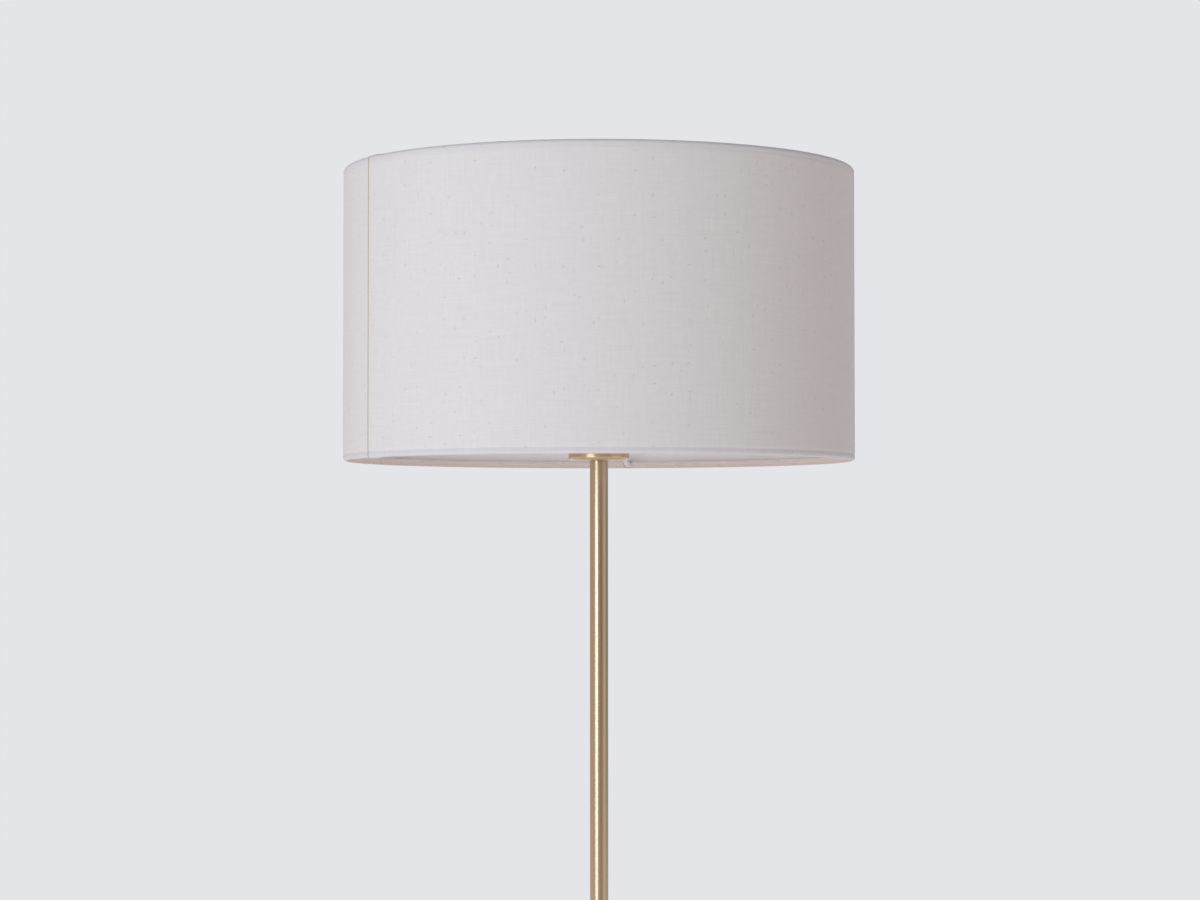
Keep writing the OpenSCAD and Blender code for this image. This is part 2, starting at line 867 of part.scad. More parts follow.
module bulb_insulator() {
    color("black")
        translate([0, 0, bulb_z])
            rotate_extrude()
                polygon([
                    [0, 1.5],
                    [4.8, 1.5],
                    [crimp_r, cap_foot - glue_gap],
                    [crimp_r - cap_metal_t, cap_foot - glue_gap],
                    [crimp_r - cap_metal_t, cap_foot + 2],
                    [0, cap_foot + 2]
                ]);
}

module bulb_cap() {
    color("silver")
        translate([0, 0, bulb_z])
            rotate_extrude()
                polygon(concat(
                    [[crimp_r, cap_foot]],
                    thread_line(0),
                    [[cap_crest_r, thread_end + 1], [cap_crest_r, cap_rim],
                        [cap_crest_r - cap_metal_t, cap_rim],
                        [cap_crest_r - cap_metal_t, thread_end + 1]],
                    reversed(thread_line(cap_metal_t)),
                    [[crimp_r - cap_metal_t / 2, cap_foot]]));
}

module bulb_globe() {
    color("lightcyan", 0.35)
        translate([0, 0, bulb_z])
            rotate_extrude()
                polygon(concat(globe_line(0), reversed(globe_line(glass_t))));
}

module bulb_stem() {
    flare_z = neck_foot + 1;
    flare_r = neck_r - glass_t - glue_gap;
    color("lightcyan", 0.5)
        translate([0, 0, bulb_z])
            difference() {
                rotate_extrude() {
                    polygon([
                        [0, flare_z], [flare_r, flare_z], [flare_r, flare_z + 1],
                        [3.2, flare_z + 9], [2.2, stem_top - 2.2], [0, stem_top - 2.2]
                    ]);
                    intersection() {
                        translate([0, stem_top - 2.2])
                            circle(r = 2.2);
                        translate([0, stem_top - 2.2])
                            square(4);
                    }
                }
                for (side = [-1, 1])
                    translate([side * lead_x, 0, flare_z - eps])
                        cylinder(r = lead_r + fit_gap, h = 9);
            }
}

function filament_ends(i) = let (
        a = 45 + 90 * i,
        rise = sqrt(filament_l * filament_l - pow(filament_foot_r - filament_head_r, 2)))
    [[filament_foot_r * cos(a), filament_foot_r * sin(a), filament_foot],
        [filament_head_r * cos(a), filament_head_r * sin(a), filament_foot + rise]];

module bulb_filaments() {
    color("gold")
        translate([0, 0, bulb_z])
            for (i = [0 : 3])
                bar(filament_ends(i)[0], filament_ends(i)[1], filament_r);
}

// Two leads with a crossbar under the sticks, and a post with two crossed bars over them
module bulb_wires() {
    side_clear = filament_r + lead_r / 2;
    bar_z = filament_foot - lead_r - side_clear / 4;
    head_z = filament_ends(0)[1][2] + lead_r + side_clear / 4;
    lead_z = neck_foot - 1;
    color("silver")
        translate([0, 0, bulb_z]) {
            for (side = [-1, 1]) {
                bar([side * lead_x, 0, lead_z], [side * lead_x, 0, bar_z], lead_r);
                bar([side * lead_x, -lead_x, bar_z], [side * lead_x, lead_x, bar_z], lead_r);
            }
            bar([0, 0, stem_top + glue_gap], [0, 0, head_z], lead_r);
            for (i = [0, 1])
                bar([filament_ends(i)[1][0], filament_ends(i)[1][1], head_z],
                    [filament_ends(i + 2)[1][0], filament_ends(i + 2)[1][1], head_z], lead_r);
        }
}

module bulb_driver() {
    board_w = 16;
    board_t = 1.2;
    board_z = cap_foot + 2;
    color("seagreen")
        translate([0, 0, bulb_z + board_z]) {
            translate([-board_w / 2, -board_t / 2, 0])
                cube([board_w, board_t, neck_foot - 1 - board_z]);
            translate([0, board_t / 2, 4])
                rotate([-90, 0, 0])
                    cylinder(r = 3, h = 5);
        }
}

// ---- Shade ----

module shade_skin(r, t) {
    translate([0, 0, skin_z])
        pipe(r, r - t, skin_top - skin_z);
}

module shade_cloth() {
    color("whitesmoke")
        shade_skin(shade_r, cloth_t);
}

module shade_liner() {
    color("white")
        shade_skin(liner_r, liner_t);
}

// The lap stands on the cloth's outer face, and its outer edge is the seam that shows
module shade_seam_lap() {
    lap_angle = lap_w / shade_r * 180 / PI;
    color("whitesmoke")
        translate([0, 0, skin_z])
            rotate([0, 0, seam_angle])
                rotate_extrude(angle = lap_angle)
                    translate([shade_r + glue_gap, 0])
                        square([cloth_t, skin_top - skin_z]);
}

// Cloth rolled round a hoop, with its edge tucked behind the liner; the tuck points to +Z
module edge_roll() {
    rotate_extrude()
        difference() {
            union() {
                translate([hoop_ring_r, 0])
                    circle(r = roll_r);
                translate([liner_r - liner_t - glue_gap - cloth_t, 0])
                    square([cloth_t, roll_r + tuck_h]);
            }
            translate([hoop_ring_r, 0])
                circle(r = hoop_r + glue_gap);
        }
}

// The lower roll is slit where the spider's arms reach the hoop
module bottom_edge_roll() {
    slit_w = arm_d + 2 * hole_gap;
    color("linen")
        difference() {
            translate([0, 0, bottom_hoop_z])
                edge_roll();
            for (a = arm_angles)
                rotate([0, 0, a])
                    translate([hoop_ring_r - roll_r - 2 * cloth_t, -slit_w / 2,
                            arm_end_z - arm_r - hole_gap])
                        cube([roll_r + 2 * cloth_t, slit_w, slit_w + roll_r + tuck_h]);
        }
}

module top_edge_roll() {
    color("linen")
        translate([0, 0, top_hoop_z])
            mirror([0, 0, 1])
                edge_roll();
}

module hoop(z) {
    color("white")
        translate([0, 0, z])
            rotate_extrude()
                translate([hoop_ring_r, 0])
                    circle(r = hoop_r);
}

module bottom_hoop() { hoop(bottom_hoop_z); }
module top_hoop() { hoop(top_hoop_z); }

module spider_plate() {
    color("white")
        translate([0, 0, shoulder_top])
            pipe(spider_r, spider_bore_r, spider_t);
}

module spider_arm(angle) {
    color("white")
        rotate([0, 0, angle])
            bar([arm_foot_r, 0, arm_foot_z], [arm_end_r, 0, arm_end_z], arm_r);
}

module spider_arm_rear() { spider_arm(arm_angles[0]); }
module spider_arm_left() { spider_arm(arm_angles[1]); }
module spider_arm_right() { spider_arm(arm_angles[2]); }

felt_pad();
base_weight();
base_cover();
recess_plate();
recess_plate_screws();
cord_grommet();
base_nipple();
base_washer();
base_nut();
terminal_block();
terminal_sleeves();
terminal_screws();
block_screw();
lower_tube();
middle_tube();
upper_tube();
lower_foot_bush();
lower_top_bush();
middle_foot_bush();
middle_top_bush();
upper_foot_bush();
upper_top_bush();
lower_joiner();
upper_joiner();
flex_sheath();
live_core();
neutral_core();
holder_cup();
cup_nipple();
cup_nut();
holder_cap();
holder_grub_screw();
holder_insert();
holder_terminals();
holder_terminal_screws();
centre_contact();
screw_shell();
holder_skirt();
shade_ring();
bulb_tip();
bulb_insulator();
bulb_cap();
bulb_globe();
bulb_stem();
bulb_filaments();
bulb_wires();
bulb_driver();
shade_cloth();
shade_liner();
shade_seam_lap();
top_edge_roll();
bottom_edge_roll();
top_hoop();
bottom_hoop();
spider_plate();
spider_arm_rear();
spider_arm_left();
spider_arm_right();
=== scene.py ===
"""Looks of the column floor lamp, built around its construction model.

Metres. +Z is up the column, the front faces -Y, and the origin is the middle of the base on
the floor. Sizes come from the construction model's nodes or from the settings below.
"""
import json
import math
from functools import partial

import bmesh
import bpy
from mathutils import Matrix, Vector


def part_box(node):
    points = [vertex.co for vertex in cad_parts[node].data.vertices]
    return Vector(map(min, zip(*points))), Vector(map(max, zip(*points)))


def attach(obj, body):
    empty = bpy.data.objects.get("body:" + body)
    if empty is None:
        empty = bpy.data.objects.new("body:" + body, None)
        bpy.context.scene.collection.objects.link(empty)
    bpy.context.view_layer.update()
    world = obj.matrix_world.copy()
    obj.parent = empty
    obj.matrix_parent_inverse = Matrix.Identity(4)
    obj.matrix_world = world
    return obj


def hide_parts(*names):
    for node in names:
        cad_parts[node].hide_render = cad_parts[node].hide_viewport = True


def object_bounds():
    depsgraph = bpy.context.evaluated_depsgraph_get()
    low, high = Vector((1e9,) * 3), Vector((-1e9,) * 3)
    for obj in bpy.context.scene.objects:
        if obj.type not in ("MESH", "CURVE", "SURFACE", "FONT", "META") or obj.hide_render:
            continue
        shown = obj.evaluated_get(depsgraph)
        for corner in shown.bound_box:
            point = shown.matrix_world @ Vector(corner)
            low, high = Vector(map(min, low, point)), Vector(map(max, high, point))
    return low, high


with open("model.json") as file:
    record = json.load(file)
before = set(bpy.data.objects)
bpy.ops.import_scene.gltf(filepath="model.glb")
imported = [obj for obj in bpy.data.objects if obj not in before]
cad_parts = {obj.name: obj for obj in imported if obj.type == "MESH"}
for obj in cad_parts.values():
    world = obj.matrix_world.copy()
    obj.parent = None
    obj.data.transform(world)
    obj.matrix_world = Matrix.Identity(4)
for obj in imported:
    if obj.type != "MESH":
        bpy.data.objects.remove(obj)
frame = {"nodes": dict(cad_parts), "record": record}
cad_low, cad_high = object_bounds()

bl_info = {
    "name": "Column floor lamp",
    "version": (1, 0, 0),
    "blender": (4, 5, 0),
    "location": "View3D > Sidebar > Column lamp",
    "description": "Dresses the column floor lamp: cloth shade, brass column, lampholder, bulb and base",
    "category": "Object",
}

MM = 0.001
TURN = 2 * math.pi
CLOTH_MAP = "ClothMap"
ARM_ANGLES = [math.radians(a) for a in (83, 203, 323)]


# ---------------------------------------------------------------- colours and node trees


def linear(hex_colour):
    """An sRGB hex colour as linear RGBA."""
    channels = [int(hex_colour[i:i + 2], 16) / 255 for i in (1, 3, 5)]
    return (*[c / 12.92 if c <= 0.04045 else ((c + 0.055) / 1.055) ** 2.4 for c in channels], 1.0)


def plug(tree, node, inputs):
    """Sets a node's inputs, each to a value, a socket, or another node's first output."""
    for key, value in inputs.items():
        if isinstance(value, bpy.types.Node):
            value = value.outputs[0]
        if isinstance(value, bpy.types.NodeSocket):
            tree.links.new(value, node.inputs[key])
        else:
            node.inputs[key].default_value = value


def add(tree, kind, inputs=None, **settings):
    """Adds a node with its settings and links."""
    node = tree.nodes.new(kind)
    for name, value in settings.items():
        setattr(node, name, value)
    plug(tree, node, inputs or {})
    return node


def new_tree(name, sizes):
    """A geometry node tree with named inputs: {name: (socket type, default)}."""
    tree = bpy.data.node_groups.new(name, "GeometryNodeTree")
    tree.interface.new_socket("Geometry", in_out="OUTPUT", socket_type="NodeSocketGeometry")
    for label, (kind, value) in sizes.items():
        socket = tree.interface.new_socket(label, in_out="INPUT", socket_type="NodeSocket" + kind)
        if value is not None:
            socket.default_value = value
    return tree


def grow(name, tree, values):
    """The plain mesh that a node tree makes with these inputs."""
    holder = new_object(name, bpy.data.meshes.new(name))
    modifier = holder.modifiers.new("grow", "NODES")
    modifier.node_group = tree
    for item in tree.interface.items_tree:
        if item.item_type == "SOCKET" and item.in_out == "INPUT" and item.name in values:
            modifier[item.identifier] = values[item.name]
    return settle(holder)


def end_tree(tree, geometry, material):
    """Ends a tree in Realize Instances and Set Material."""
    real = add(tree, "GeometryNodeRealizeInstances", {"Geometry": geometry})
    painted = add(tree, "GeometryNodeSetMaterial", {"Geometry": real, "Material": material})
    add(tree, "NodeGroupOutput", {0: painted})
    return tree


def equal_turns(tree, size):
    """The angle of each of Count copies: equal steps round a circle, from the angle First."""
    each = add(tree, "ShaderNodeMath", {0: TURN, 1: size["Count"]}, operation="DIVIDE")
    index = add(tree, "GeometryNodeInputIndex")
    return add(tree, "ShaderNodeMath", {0: index, 1: each, 2: size["First"]}, operation="MULTIPLY_ADD")


def copies(tree, size, part, spot, turn):
    """Count copies of a part, each at its spot and turned round Z."""
    spots = add(tree, "GeometryNodePoints", {"Count": size["Count"], "Position": spot})
    spin = add(tree, "ShaderNodeCombineXYZ", {"Z": turn})
    return add(tree, "GeometryNodeInstanceOnPoints", {
        "Points": spots, "Instance": part, "Rotation": spin})


def fan(tree, size, part, material):
    """Ends a tree in smooth copies of a part, turned about the lamp's axis in equal steps."""
    around = copies(tree, size, part, (0, 0, 0), equal_turns(tree, size))
    return end_tree(tree, add(tree, "GeometryNodeSetShadeSmooth", {"Geometry": around}), material)


def bar(tree, size, points, sides, swell=None):
    """A round bar from Foot to Head, whose radius may follow a swell along it."""
    line = add(tree, "GeometryNodeCurvePrimitiveLine", {"Start": size["Foot"], "End": size["Head"]})
    path = add(tree, "GeometryNodeResampleCurve", {"Curve": line, "Count": points})
    ring = add(tree, "GeometryNodeCurvePrimitiveCircle", {"Resolution": sides, "Radius": size["Radius"]})
    swept = {"Profile Curve": ring, "Fill Caps": True}
    if swell:
        path = add(tree, "GeometryNodeSetCurveRadius", {"Curve": path, "Radius": swell})
        swept["Scale"] = add(tree, "GeometryNodeInputRadius")
    return add(tree, "GeometryNodeCurveToMesh", {"Curve": path, **swept})


# ---------------------------------------------------------------- meshes


def new_object(name, data):
    """An object at the origin, in the scene."""
    made = bpy.data.objects.new(name, data)
    bpy.context.scene.collection.objects.link(made)
    return made


def mesh_object(name, points, faces, smooth_angle=35):
    """A mesh object with its doubles merged and its faces pointing outwards."""
    mesh = bpy.data.meshes.new(name)
    mesh.from_pydata(points, [], faces)
    shell = bmesh.new()
    shell.from_mesh(mesh)
    bmesh.ops.remove_doubles(shell, verts=shell.verts, dist=1e-7)
    bmesh.ops.recalc_face_normals(shell, faces=shell.faces)
    shell.to_mesh(mesh)
    shell.free()
    mesh.shade_smooth()
    mesh.set_sharp_from_angle(angle=math.radians(smooth_angle))
    return new_object(name, mesh)


def settle(piece):
    """Turns a piece and its modifiers into one plain mesh."""
    graph = bpy.context.evaluated_depsgraph_get()
    mesh = bpy.data.meshes.new_from_object(
        piece.evaluated_get(graph), preserve_all_data_layers=True, depsgraph=graph)
    piece.modifiers.clear()
    piece.data = mesh
    if not mesh.polygons:
        raise RuntimeError(f"{piece.name} came out empty")
    return piece


def thicken(sheet, thickness):
    """Faces a rolled sheet outwards, and gives it its thickness inwards."""
    widest = max(sheet.data.polygons, key=lambda face: face.area)
    if widest.normal.dot(Vector((widest.center.x, widest.center.y, 0))) < 0:
        sheet.data.flip_normals()
    wall = sheet.modifiers.new("thickness", "SOLIDIFY")
    wall.thickness, wall.offset = thickness, -1
    settle(sheet)


def cut(piece, tool):
    """Cuts a tool's shape out of a piece, and removes the tool."""
    taken = piece.modifiers.new("cut", "BOOLEAN")
    taken.operation, taken.object, taken.solver = "DIFFERENCE", tool, "EXACT"
    settle(piece)
    bpy.data.objects.remove(tool)


def lay_along_y(part, start, turn):
    """Turns a part's mesh from Z to Y, so that its object stays at the origin."""
    part.data.transform(Matrix.Translation(start) @ Matrix.Rotation(turn, 4, "X"))


def middle_z(node):
    """Height of the middle of a construction node."""
    low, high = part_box(node)
    return (low.z + high.z) / 2


def arc(middle, radius, start, end, steps):
    """Points (r, z) on an arc of a half outline, with its angles in degrees."""
    angles = [math.radians(start + (end - start) * i / steps) for i in range(steps + 1)]
    return [(middle[0] + radius * math.cos(a), middle[1] + radius * math.sin(a)) for a in angles]


def fine_line(points, step):
    """A polyline of (r, z) with points added so that none is further than step from the next."""
    out = [points[0]]
    for (r0, z0), (r1, z1) in zip(points, points[1:]):
        count = max(1, math.ceil(math.hypot(r1 - r0, z1 - z0) / step))
        out += [(r0 + (r1 - r0) * i / count, z0 + (z1 - z0) * i / count) for i in range(1, count + 1)]
    return out


def turned(name, outline, segments=128, shape=None, smooth_angle=35):
    """A solid turned about Z from a closed half outline of (r, z). shape(r, z, angle) may change r."""
    points, rings = [], []
    for r, z in outline:
        if r < 1e-9:
            rings.append([len(points)] * segments)
            points.append((0, 0, z))
            continue
        rings.append(list(range(len(points), len(points) + segments)))
        for i in range(segments):
            a = TURN * i / segments
            reach = shape(r, z, a) if shape else r
            points.append((reach * math.cos(a), reach * math.sin(a), z))
    faces = []
    for ring, after in zip(rings, rings[1:] + rings[:1]):
        for i in range(segments):
            k = (i + 1) % segments
            corners = list(dict.fromkeys((ring[i], ring[k], after[k], after[i])))
            if len(corners) > 2:
                faces.append(corners)
    return mesh_object(name, points, faces, smooth_angle)


def helix_wave(z, angle, pitch):
    """From 0 at the root to 1 at the crest of a thread of this pitch."""
    return (1 + math.cos(TURN * (z / pitch - angle / TURN))) / 2


def fade(value, start, end):
    """From 0 at start to 1 at end, smoothly."""
    t = min(1.0, max(0.0, (value - start) / (end - start)))
    return t * t * (3 - 2 * t)


def notch(angle, count, width):
    """From 0 between the notches round a circle to 1 in the middle of each. Width is their share."""
    return fade(math.cos(angle * count) * 0.5 + 0.5, 1 - width, 1.0)


def place(piece, body, slot, *nodes):
    """Gives a finished piece its material, and says what it rides on and stands for."""
    piece.data.polygons.foreach_set("material_index", [0] * len(piece.data.polygons))
    piece.data.materials.clear()
    piece.data.materials.append(finish(slot))
    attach(piece, body)
    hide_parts(*nodes)


# ---------------------------------------------------------------- materials


def radial_lines(tree, pitch):
    """Fine lines that run round Z, as a lathe or a belt leaves them: a noise in radius and height."""
    point = add(tree, "ShaderNodeTexCoord").outputs["Object"]
    axes = add(tree, "ShaderNodeSeparateXYZ", {0: point}).outputs
    flat = add(tree, "ShaderNodeCombineXYZ", {"X": axes["X"], "Y": axes["Y"]})
    radius = add(tree, "ShaderNodeVectorMath", {0: flat}, operation="LENGTH").outputs["Value"]
    turn = add(tree, "ShaderNodeVectorMath", {0: flat}, operation="NORMALIZE")
    lines = add(tree, "ShaderNodeCombineXYZ", {"X": radius, "Z": axes["Z"]})
    fine = add(tree, "ShaderNodeVectorMath", {0: lines, "Scale": 1 / pitch}, operation="SCALE")
    drift = add(tree, "ShaderNodeVectorMath", {0: turn, "Scale": 1.5}, operation="SCALE")
    where = add(tree, "ShaderNodeVectorMath", {0: fine, 1: drift}, operation="ADD")
    return add(tree, "ShaderNodeTexNoise", {"Vector": where, "Scale": 1.0, "Detail": 4.0, "Roughness": 0.6})


def grain(tree, size, detail=3.0, stretch=(1, 1, 1)):
    """A noise on Object coordinates whose lumps are about size across."""
    point = add(tree, "ShaderNodeTexCoord").outputs["Object"]
    scaled = add(tree, "ShaderNodeMapping", {"Vector": point, "Scale": [s / size for s in stretch]})
    return add(tree, "ShaderNodeTexNoise", {"Vector": scaled, "Scale": 1.0, "Detail": detail})


def vary(tree, shader, noise, colour, spread, rough, rough_spread):
    """Colour and roughness that follow a noise, spread either side of their mean."""
    dark, light = [[min(1, c * (1 + side * spread)) for c in colour[:3]] + [1] for side in (-1, 1)]
    mixed = add(tree, "ShaderNodeMix", {"Factor": noise, 6: dark, 7: light}, data_type="RGBA")
    ranged = add(tree, "ShaderNodeMapRange", {
        "Value": noise, "From Min": 0.25, "From Max": 0.75,
        "To Min": rough - rough_spread, "To Max": rough + rough_spread})
    plug(tree, shader, {"Base Color": mixed.outputs[2], "Roughness": ranged})


def emboss(tree, shader, height, depth):
    """A bump of this depth, in metres, from a height between 0 and 1."""
    bump = add(tree, "ShaderNodeBump", {"Height": height, "Distance": depth, "Strength": 1.0})
    plug(tree, shader, {"Normal": bump})


def cover(tree, shader, noise, colour, spread, rough, rough_spread, depth, more=None):
    """Colour, roughness and a relief of this depth that follow one noise, with more sockets set."""
    vary(tree, shader, noise, colour, spread, rough, rough_spread)
    emboss(tree, shader, noise, depth)
    plug(tree, shader, more or {})


def belt_brushed_brass(tree, shader):
    """Champagne brass, belt-brushed round its axis and lacquered: narrow streaks, blurred along Z."""
    colour = bpy.context.scene.lamp_brass.colour
    cover(tree, shader, radial_lines(tree, 0.35 * MM), colour, 0.05, 0.31, 0.03, 0.0015 * MM, {
        "Metallic": 1.0, "Anisotropic": 0.65, "Anisotropic Rotation": 0.25,
        "Tangent": add(tree, "ShaderNodeTangent", direction_type="RADIAL", axis="Z"),
        "Coat Weight": 1.0, "Coat Roughness": 0.25})


def lathe_turned_brass(tree, shader):
    """Free-cutting brass straight from the lathe: yellow, with fine turning marks."""
    cover(tree, shader, radial_lines(tree, 0.15 * MM), linear("#D9B56A"), 0.05, 0.24, 0.05, 0.006 * MM,
          {"Metallic": 1.0})


def rolled_aluminium(tree, shader):
    """Rolled aluminium screw cap: pale, bright on its crests, with rolling marks round it."""
    cover(tree, shader, radial_lines(tree, 0.25 * MM), linear("#D6D7D8"), 0.05, 0.27, 0.06, 0.004 * MM,
          {"Metallic": 1.0})


def zinc_plated_steel(tree, shader):
    """Bright zinc plate on pressed steel: cool grey, with a faint spangle and cloudy gloss."""
    vary(tree, shader, grain(tree, 4 * MM), linear("#C6C9CB"), 0.06, 0.34, 0.08)
    emboss(tree, shader, grain(tree, 0.4 * MM), 0.004 * MM)
    plug(tree, shader, {"Metallic": 1.0})


def frozen_solder(tree, shader):
    """Tinned contact button: grey, dimpled and half bright, as solder freezes."""
    cover(tree, shader, grain(tree, 1.3 * MM), linear("#B9BABA"), 0.1, 0.35, 0.12, 0.08 * MM,
          {"Metallic": 1.0})


def sand_cast_iron(tree, shader):
    """Sand-cast iron under black primer: pimpled by the sand, dull, with paler worn grains."""
    cover(tree, shader, grain(tree, 1.2 * MM, 5.0), linear("#2B2B2A"), 0.35, 0.72, 0.08, 0.12 * MM)


def powder_coated_steel(tree, shader):
    """Powder-coated steel wire: white, evenly satin, with a fine orange peel."""
    cover(tree, shader, grain(tree, 0.7 * MM, 2.0), linear("#D4D7DC"), 0.02, 0.38, 0.05, 0.006 * MM)


def pressed_wool_felt(tree, shader):
    """Grey wool felt: matt, with short crossed fibres and a soft sheen at the edge."""
    fibres = grain(tree, 0.5 * MM, 6.0, (1, 0.25, 1))
    cover(tree, shader, fibres, linear("#4A4A49"), 0.3, 0.94, 0.03, 0.15 * MM,
          {"Sheen Weight": 0.3, "Sheen Roughness": 0.6})


def moulded_rubber(tree, shader):
    """Black rubber with mould talc in its grain."""
    cover(tree, shader, grain(tree, 0.8 * MM, 4.0), linear("#252524"), 0.25, 0.62, 0.08, 0.02 * MM)


def plastic(tree, shader, colour, rough, size, depth, spread=0.03):
    """A moulded or extruded plastic with the faint grain of its tool."""
    cover(tree, shader, grain(tree, size), linear(colour), spread, rough, rough * 0.15, depth)


def moulded_nylon(tree, shader):
    """Natural polyamide of a terminal block: waxy white, slightly see-through at its edges."""
    plastic(tree, shader, "#EDEAE2", 0.42, 0.7 * MM, 0.01 * MM)
    plug(tree, shader, {"Subsurface Weight": 0.1, "Subsurface Scale": 0.5 * MM})


def extruded_white_pvc(tree, shader):
    """Extruded white flex sheath: satin, with die lines too faint to count."""
    plastic(tree, shader, "#E9E9E5", 0.45, 1.5 * MM, 0.01 * MM)


def extruded_brown_pvc(tree, shader):
    """Brown core insulation, extruded, with a dull gloss."""
    plastic(tree, shader, "#5E3A22", 0.42, 1.2 * MM, 0.008 * MM, 0.06)


def extruded_blue_pvc(tree, shader):
    """Blue core insulation, extruded, with a dull gloss."""
    plastic(tree, shader, "#2E6FB7", 0.42, 1.2 * MM, 0.008 * MM, 0.06)


def moulded_white_urea(tree, shader):
    """Compression-moulded urea of a lampholder: hard white gloss with a slight orange peel."""
    plastic(tree, shader, "#F0EFEB", 0.28, 2.5 * MM, 0.012 * MM, 0.015)


def phosphor_silicone(tree, shader):
    """Silicone loaded with yellow phosphor round the LED chips: dull amber, slightly soft."""
    cover(tree, shader, grain(tree, 0.6 * MM), linear("#F0C24A"), 0.08, 0.5, 0.06, 0.01 * MM,
          {"Subsurface Weight": 0.15, "Subsurface Scale": 0.5 * MM})


def unglazed_steatite(tree, shader):
    """Unglazed technical ceramic: chalky white with tiny iron specks."""
    point = add(tree, "ShaderNodeTexCoord").outputs["Object"]
    specks = add(tree, "ShaderNodeTexVoronoi", {"Vector": point, "Scale": 1 / (0.9 * MM)})
    dots = add(tree, "ShaderNodeMapRange", {
        "Value": specks.outputs["Distance"], "From Min": 0.08, "From Max": 0.16})
    body = add(tree, "ShaderNodeMix", {"Factor": dots, 6: linear("#C9BDA6"), 7: linear("#EFECE3")},
               data_type="RGBA")
    plug(tree, shader, {"Base Color": body.outputs[2], "Roughness": 0.6})
    emboss(tree, shader, grain(tree, 0.3 * MM, 4.0), 0.012 * MM)


def fused_black_glass(tree, shader):
    """Fused black insulating glass of a bulb cap: almost black and wet-looking."""
    cover(tree, shader, grain(tree, 3 * MM, 2.0), linear("#121314"), 0.3, 0.12, 0.05, 0.03 * MM)


def blown_clear_glass(tree, shader):
    """Blown soda-lime glass: clear, with the faint waviness that blowing leaves."""
    emboss(tree, shader, grain(tree, 14 * MM, 1.0), 0.05 * MM)
    plug(tree, shader, {"Base Color": linear("#FBFDFC"), "Roughness": 0.0, "IOR": 1.5,
                        "Transmission Weight": 1.0})


def masked_circuit_board(tree, shader):
    """Glass-fibre board under green solder mask: its copper tracks show as paler bands."""
    point = add(tree, "ShaderNodeTexCoord").outputs["Object"]
    tracks = add(tree, "ShaderNodeTexBrick", {
        "Vector": point, "Color1": linear("#1C6B3C"), "Color2": linear("#1F7443"),
        "Mortar": linear("#0F4A28"), "Scale": 1 / (6 * MM), "Mortar Size": 0.06}, offset=0.5)
    plug(tree, shader, {"Base Color": tracks.outputs["Color"], "Roughness": 0.35})
    emboss(tree, shader, tracks.outputs["Fac"], -0.03 * MM)


def calendered_white_liner(tree, shader):
    """Calendered white PVC sheet behind the cloth: smooth, faintly clouded, with a soft gloss."""
    vary(tree, shader, grain(tree, 18 * MM, 2.0), linear("#E9E6E8"), 0.012, 0.5, 0.05)
    emboss(tree, shader, grain(tree, 3 * MM, 2.0), 0.01 * MM)


def husk_flecks(tree, point, colour, cell, shift, share):
    """Adds flecks and slubs: this share of the points in a loose grid, drawn out along its cells."""
    scaled = add(tree, "ShaderNodeMapping", {
        "Vector": point, "Location": (shift, 0, 0), "Scale": (1 / cell[0], 1 / cell[1], 1)})
    dots = add(tree, "ShaderNodeTexVoronoi", {"Vector": scaled, "Scale": 1.0},
               voronoi_dimensions="2D").outputs
    chance = add(tree, "ShaderNodeSeparateXYZ", {0: dots["Color"]}).outputs
    size = add(tree, "ShaderNodeMapRange", {"Value": chance[1], "To Min": 0.03, "To Max": 0.12})
    # The large ones are faint smears, and the small ones dark dots
    strength = add(tree, "ShaderNodeMapRange", {"Value": chance[1], "To Min": 0.40, "To Max": 0.12})
    reach = add(tree, "ShaderNodeMath", {0: dots["Distance"], 1: size}, operation="DIVIDE")
    spot = add(tree, "ShaderNodeMapRange", {
        "Value": reach, "From Min": 0.4, "From Max": 1.6, "To Min": strength, "To Max": 0.0},
        interpolation_type="SMOOTHSTEP")
    chosen = add(tree, "ShaderNodeMath", {0: chance[0], 1: share}, operation="LESS_THAN")
    seen = add(tree, "ShaderNodeMath", {0: spot, 1: chosen}, operation="MULTIPLY")
    husk = add(tree, "ShaderNodeValToRGB", {0: chance[2]})
    stops = husk.color_ramp.elements
    stops[0].color, stops[1].color = linear("#8F8478"), linear("#B9B1AE")
    stops.new(0.35).color = linear("#B39B7C")
    stops.new(0.7).color = linear("#A6A09C")
    return add(tree, "ShaderNodeMix", {"Factor": seen, 6: colour, 7: husk},
               data_type="RGBA").outputs[2]


